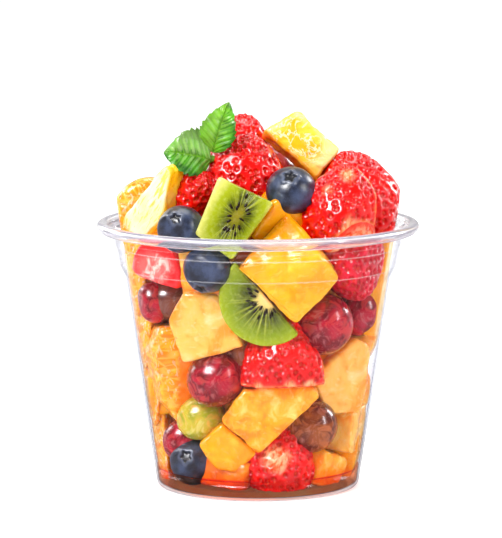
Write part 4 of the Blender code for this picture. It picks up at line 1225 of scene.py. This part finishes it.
def back_piece(kind, name, number):
    """The mesh, finish and slot of one piece of the rows."""
    if kind == "strawberry":
        return strawberry_mesh(name, 9.5, 20, 100 + number), strawberry_finish, "strawberry"
    if kind == "grape":
        return grape_mesh(name, 7.6, 1.1, 100 + number), red_grape, "grape"
    if kind == "blueberry":
        return blueberry_mesh(name, 7.2, 100 + number), blueberry_finish, "blueberry"
    if kind == "orange":
        return segment_mesh(name, 23, 13, 12, 100 + number), orange_finish, "orange"
    if kind == "kiwi":
        mesh = finely(kiwi_half(13, 9), name, 1.0, [(0.1, 5)], number)
        kiwi_rays(mesh, (0.0, 0.0), (13.0, 13.0))
        return mesh, kiwi_across, "kiwi"
    mesh = finely(block(15, 13, 14, number), name, 0.8, [(0.16, 6)], number)
    if kind == "pineapple":
        return fibrous(mesh, (0.3, 0.1, 0.9), (0, -1, 0), number), pineapple_pale, "pineapple"
    return mesh, mango_finish if kind == "mango" else melon_finish, "mango"


row_chance = random.Random(21)
for row, height in enumerate(BACK_ROWS):
    for column, bearing in enumerate(BACK_BEARINGS):
        number = row * len(BACK_BEARINGS) + column
        kind = BACK_KINDS[(number * 3 + row) % len(BACK_KINDS)]
        if kind in ("kiwi", "blueberry") and column in (0, len(BACK_BEARINGS) - 1):
            kind = "melon"
        name = f"back_{kind}_{number}"
        at = against_wall(bearing + STAGGER * (row % 2 - 0.5), height, BACK_INSET)
        turn = bearing + row_chance.uniform(-15, 15)
        roll = row_chance.uniform(-50, 50)
        mesh, finish, slot_name = back_piece(kind, name, number)
        add_piece(name, set_in_place(mesh, at, turn, 0, roll), finish, slot_name, "fruit_heap")


# The mint: two leaves on a short stalk. Each leaf is toothed along its edge, folded a little along
# its midrib, and puffed up between the side veins, which are sunk into it.

LEAF_ROWS = 72
LEAF_COLUMNS = 36
LEAF_FOLD = 0.35
LEAF_BOW = 0.16
TEETH = 7
TOOTH_FROM = 0.86
TOOTH_DEPTH = 0.13
VEINS = 7


def leaf_mesh(name, length, width, base, tip, facing, seed):
    """A thin leaf from base to tip, both in mm. facing is the way its upper side looks."""
    bm = bmesh.new()
    bmesh.ops.create_grid(bm, x_segments=LEAF_COLUMNS, y_segments=LEAF_ROWS, size=1.0)
    bmesh.ops.solidify(bm, geom=bm.faces[:], thickness=0.0001)
    mesh = as_mesh(bm, name)
    grid = points_of(mesh)
    side, share, level = grid[:, 0], (grid[:, 1] + 1) / 2, np.sign(grid[:, 2] - grid[:, 2].mean())
    start, end = np.array(base) * MM, np.array(tip) * MM
    along = np.array((Vector(tip) - Vector(base)).normalized())
    across = np.cross(along, np.array(facing))
    across /= np.linalg.norm(across)
    out = np.cross(across, along)
    half = width / 2 * np.maximum(np.sin(math.pi * share**0.75) ** 0.8, 0.02)
    saw = (share * TEETH + 0.15 * np.abs(side) + 0.12 * np.sin(23 * share + seed)) % 1.0
    notch = np.where(np.abs(side) > TOOTH_FROM, (np.abs(side) - TOOTH_FROM) / 0.14, 0.0)
    half = half * (1 - notch * TOOTH_DEPTH * (1 - saw) * (share > 0.08))
    sweep = share - 0.30 * np.abs(side) * (1 - 0.4 * share)
    near_vein = np.abs(((sweep * VEINS + 0.5) % 1.0) - 0.5) * 2
    quilt = np.sin(near_vein * math.pi / 2) ** 0.7
    midrib = np.clip(1 - np.abs(side) / 0.07, 0, 1)
    rise = LEAF_FOLD * half * np.abs(side) + 0.35 * np.sin(9 * share + 2 * side)
    rise += LEAF_BOW * length * np.sin(math.pi * share)
    rise += 0.55 * quilt * (1 - midrib) * np.clip(1.3 - np.abs(side), 0, 1) - 0.25 * midrib
    rise += level * 0.22
    points = start + np.outer(length * share, along) * MM + np.outer(half * side, across) * MM
    points = points + np.outer(rise, out) * MM
    set_points(mesh, points)
    mark_points(
        mesh, own_place=np.stack([side * half, rise, share * length], axis=1),
        vein=np.clip(1 - near_vein * 3.2, 0, 1) * np.clip(1.15 - np.abs(side), 0, 1), midrib=midrib,
        crest=quilt**2 * (1 - midrib) * np.clip(1.25 - np.abs(side), 0, 1), leaf_side=side,
    )
    return mesh


def mint_finish(name, deep, main, sheen, vein, shine_side):
    """Green, with a painted sheen on the puffed crests and on the half that catches the light."""
    mint = Paint(name)
    cloud = mint.noise(mint.place(), 0.28, 3.0)
    fine = mint.noise(mint.place(), 1.3, 3.0, 0.7)
    colour = mint.mix(mint.step(cloud, 0.35, 0.65), deep, main)
    # Painted sheen: the puffed crests, and the half of the leaf that faces the light, turn towards the pale
    # sheen colour.
    crest = mint.step(mint.mark("crest") + 0.9 * (fine - 0.5), 0.35, 0.95)
    colour = mint.mix(crest * 0.35, colour, sheen)
    lit = mint.step(mint.mark("leaf_side") * shine_side + 0.3 * (fine - 0.5), 0.0, 0.3)
    colour = mint.mix(lit * 0.30, colour, sheen)
    colour = mint.mix(mint.mark("vein") * 0.6, colour, vein)
    colour = mint.mix(mint.mark("midrib") * 0.7, colour, vein)
    relief = mint.bump(fine, 0.3 * MM, 0.5)
    wet = {"film_roughness": 0.12, "soft": 0.2, "reach": (0.5, 1.0, 0.1), "depth": 0.6, "gloss": 0.3}
    return mint.done(mint.fruit(colour, 0.34, relief, film=0.4, **wet))


def stalk_mesh(base, top, radius):
    start, end = Vector(base) * MM, Vector(top) * MM
    matrix = Matrix.Translation((start + end) / 2)
    matrix @= (end - start).to_track_quat("Z", "Y").to_matrix().to_4x4()
    bm = bmesh.new()
    way = {"cap_ends": True, "segments": 16, "depth": (end - start).length, "matrix": matrix}
    bmesh.ops.create_cone(bm, radius1=radius * MM, radius2=radius * MM, **way)
    bmesh.ops.create_icosphere(bm, subdivisions=3, radius=1.05 * radius * MM, matrix=Matrix.Translation(end))
    mesh = as_mesh(bm, "mint_stalk")
    mark_points(mesh, own_place=points_of(mesh) / MM)
    return mesh


LEFT_WAYS = [(-14.3, -13.9, 100.5), (-28.3, -14.5, 103.0), (0.1, -0.9, 0.45)]
RIGHT_WAYS = [(-13.4, -13.5, 103.0), (-8.6, -12.5, 118.2), (-0.1, -1.0, 0.15)]
LEFT_GREENS = [(14, 80, 0), (62, 144, 4), (176, 214, 120), (120, 180, 30)]
RIGHT_GREENS = [(24, 98, 0), (80, 160, 6), (160, 206, 70), (146, 200, 50)]
LEAVES = [
    # side, (length, width), base and tip and facing, colours, which half shines
    ("left", (14.2, 16.2), LEFT_WAYS, LEFT_GREENS, 1.0),
    ("right", (15.8, 11.5), RIGHT_WAYS, RIGHT_GREENS, -1.0),
]
for number, (side, sizes, ways, colours, shine_side) in enumerate(LEAVES):
    leaf = leaf_mesh(f"mint_leaf_{side}", *sizes, *ways, 1 + number)
    leaf_finish = mint_finish(f"mint_{side}", *colours, shine_side)
    add_piece(f"mint_leaf_{side}", leaf, leaf_finish, "mint", "mint_sprig")
sprig = Paint("mint_stalk")
sprig_colour = sprig.mix(sprig.noise(sprig.place(), 0.6, 2.0), (60, 126, 10), (110, 164, 30))
sprig_finish = sprig.done(sprig.fruit(sprig_colour, 0.35, None, soft=0.2))
stalk = stalk_mesh((-18.8, -8.6, 98.4), (-13.8, -13.0, 101.2), 1.0)
add_piece("mint_stalk", stalk, sprig_finish, "mint", "mint_sprig")
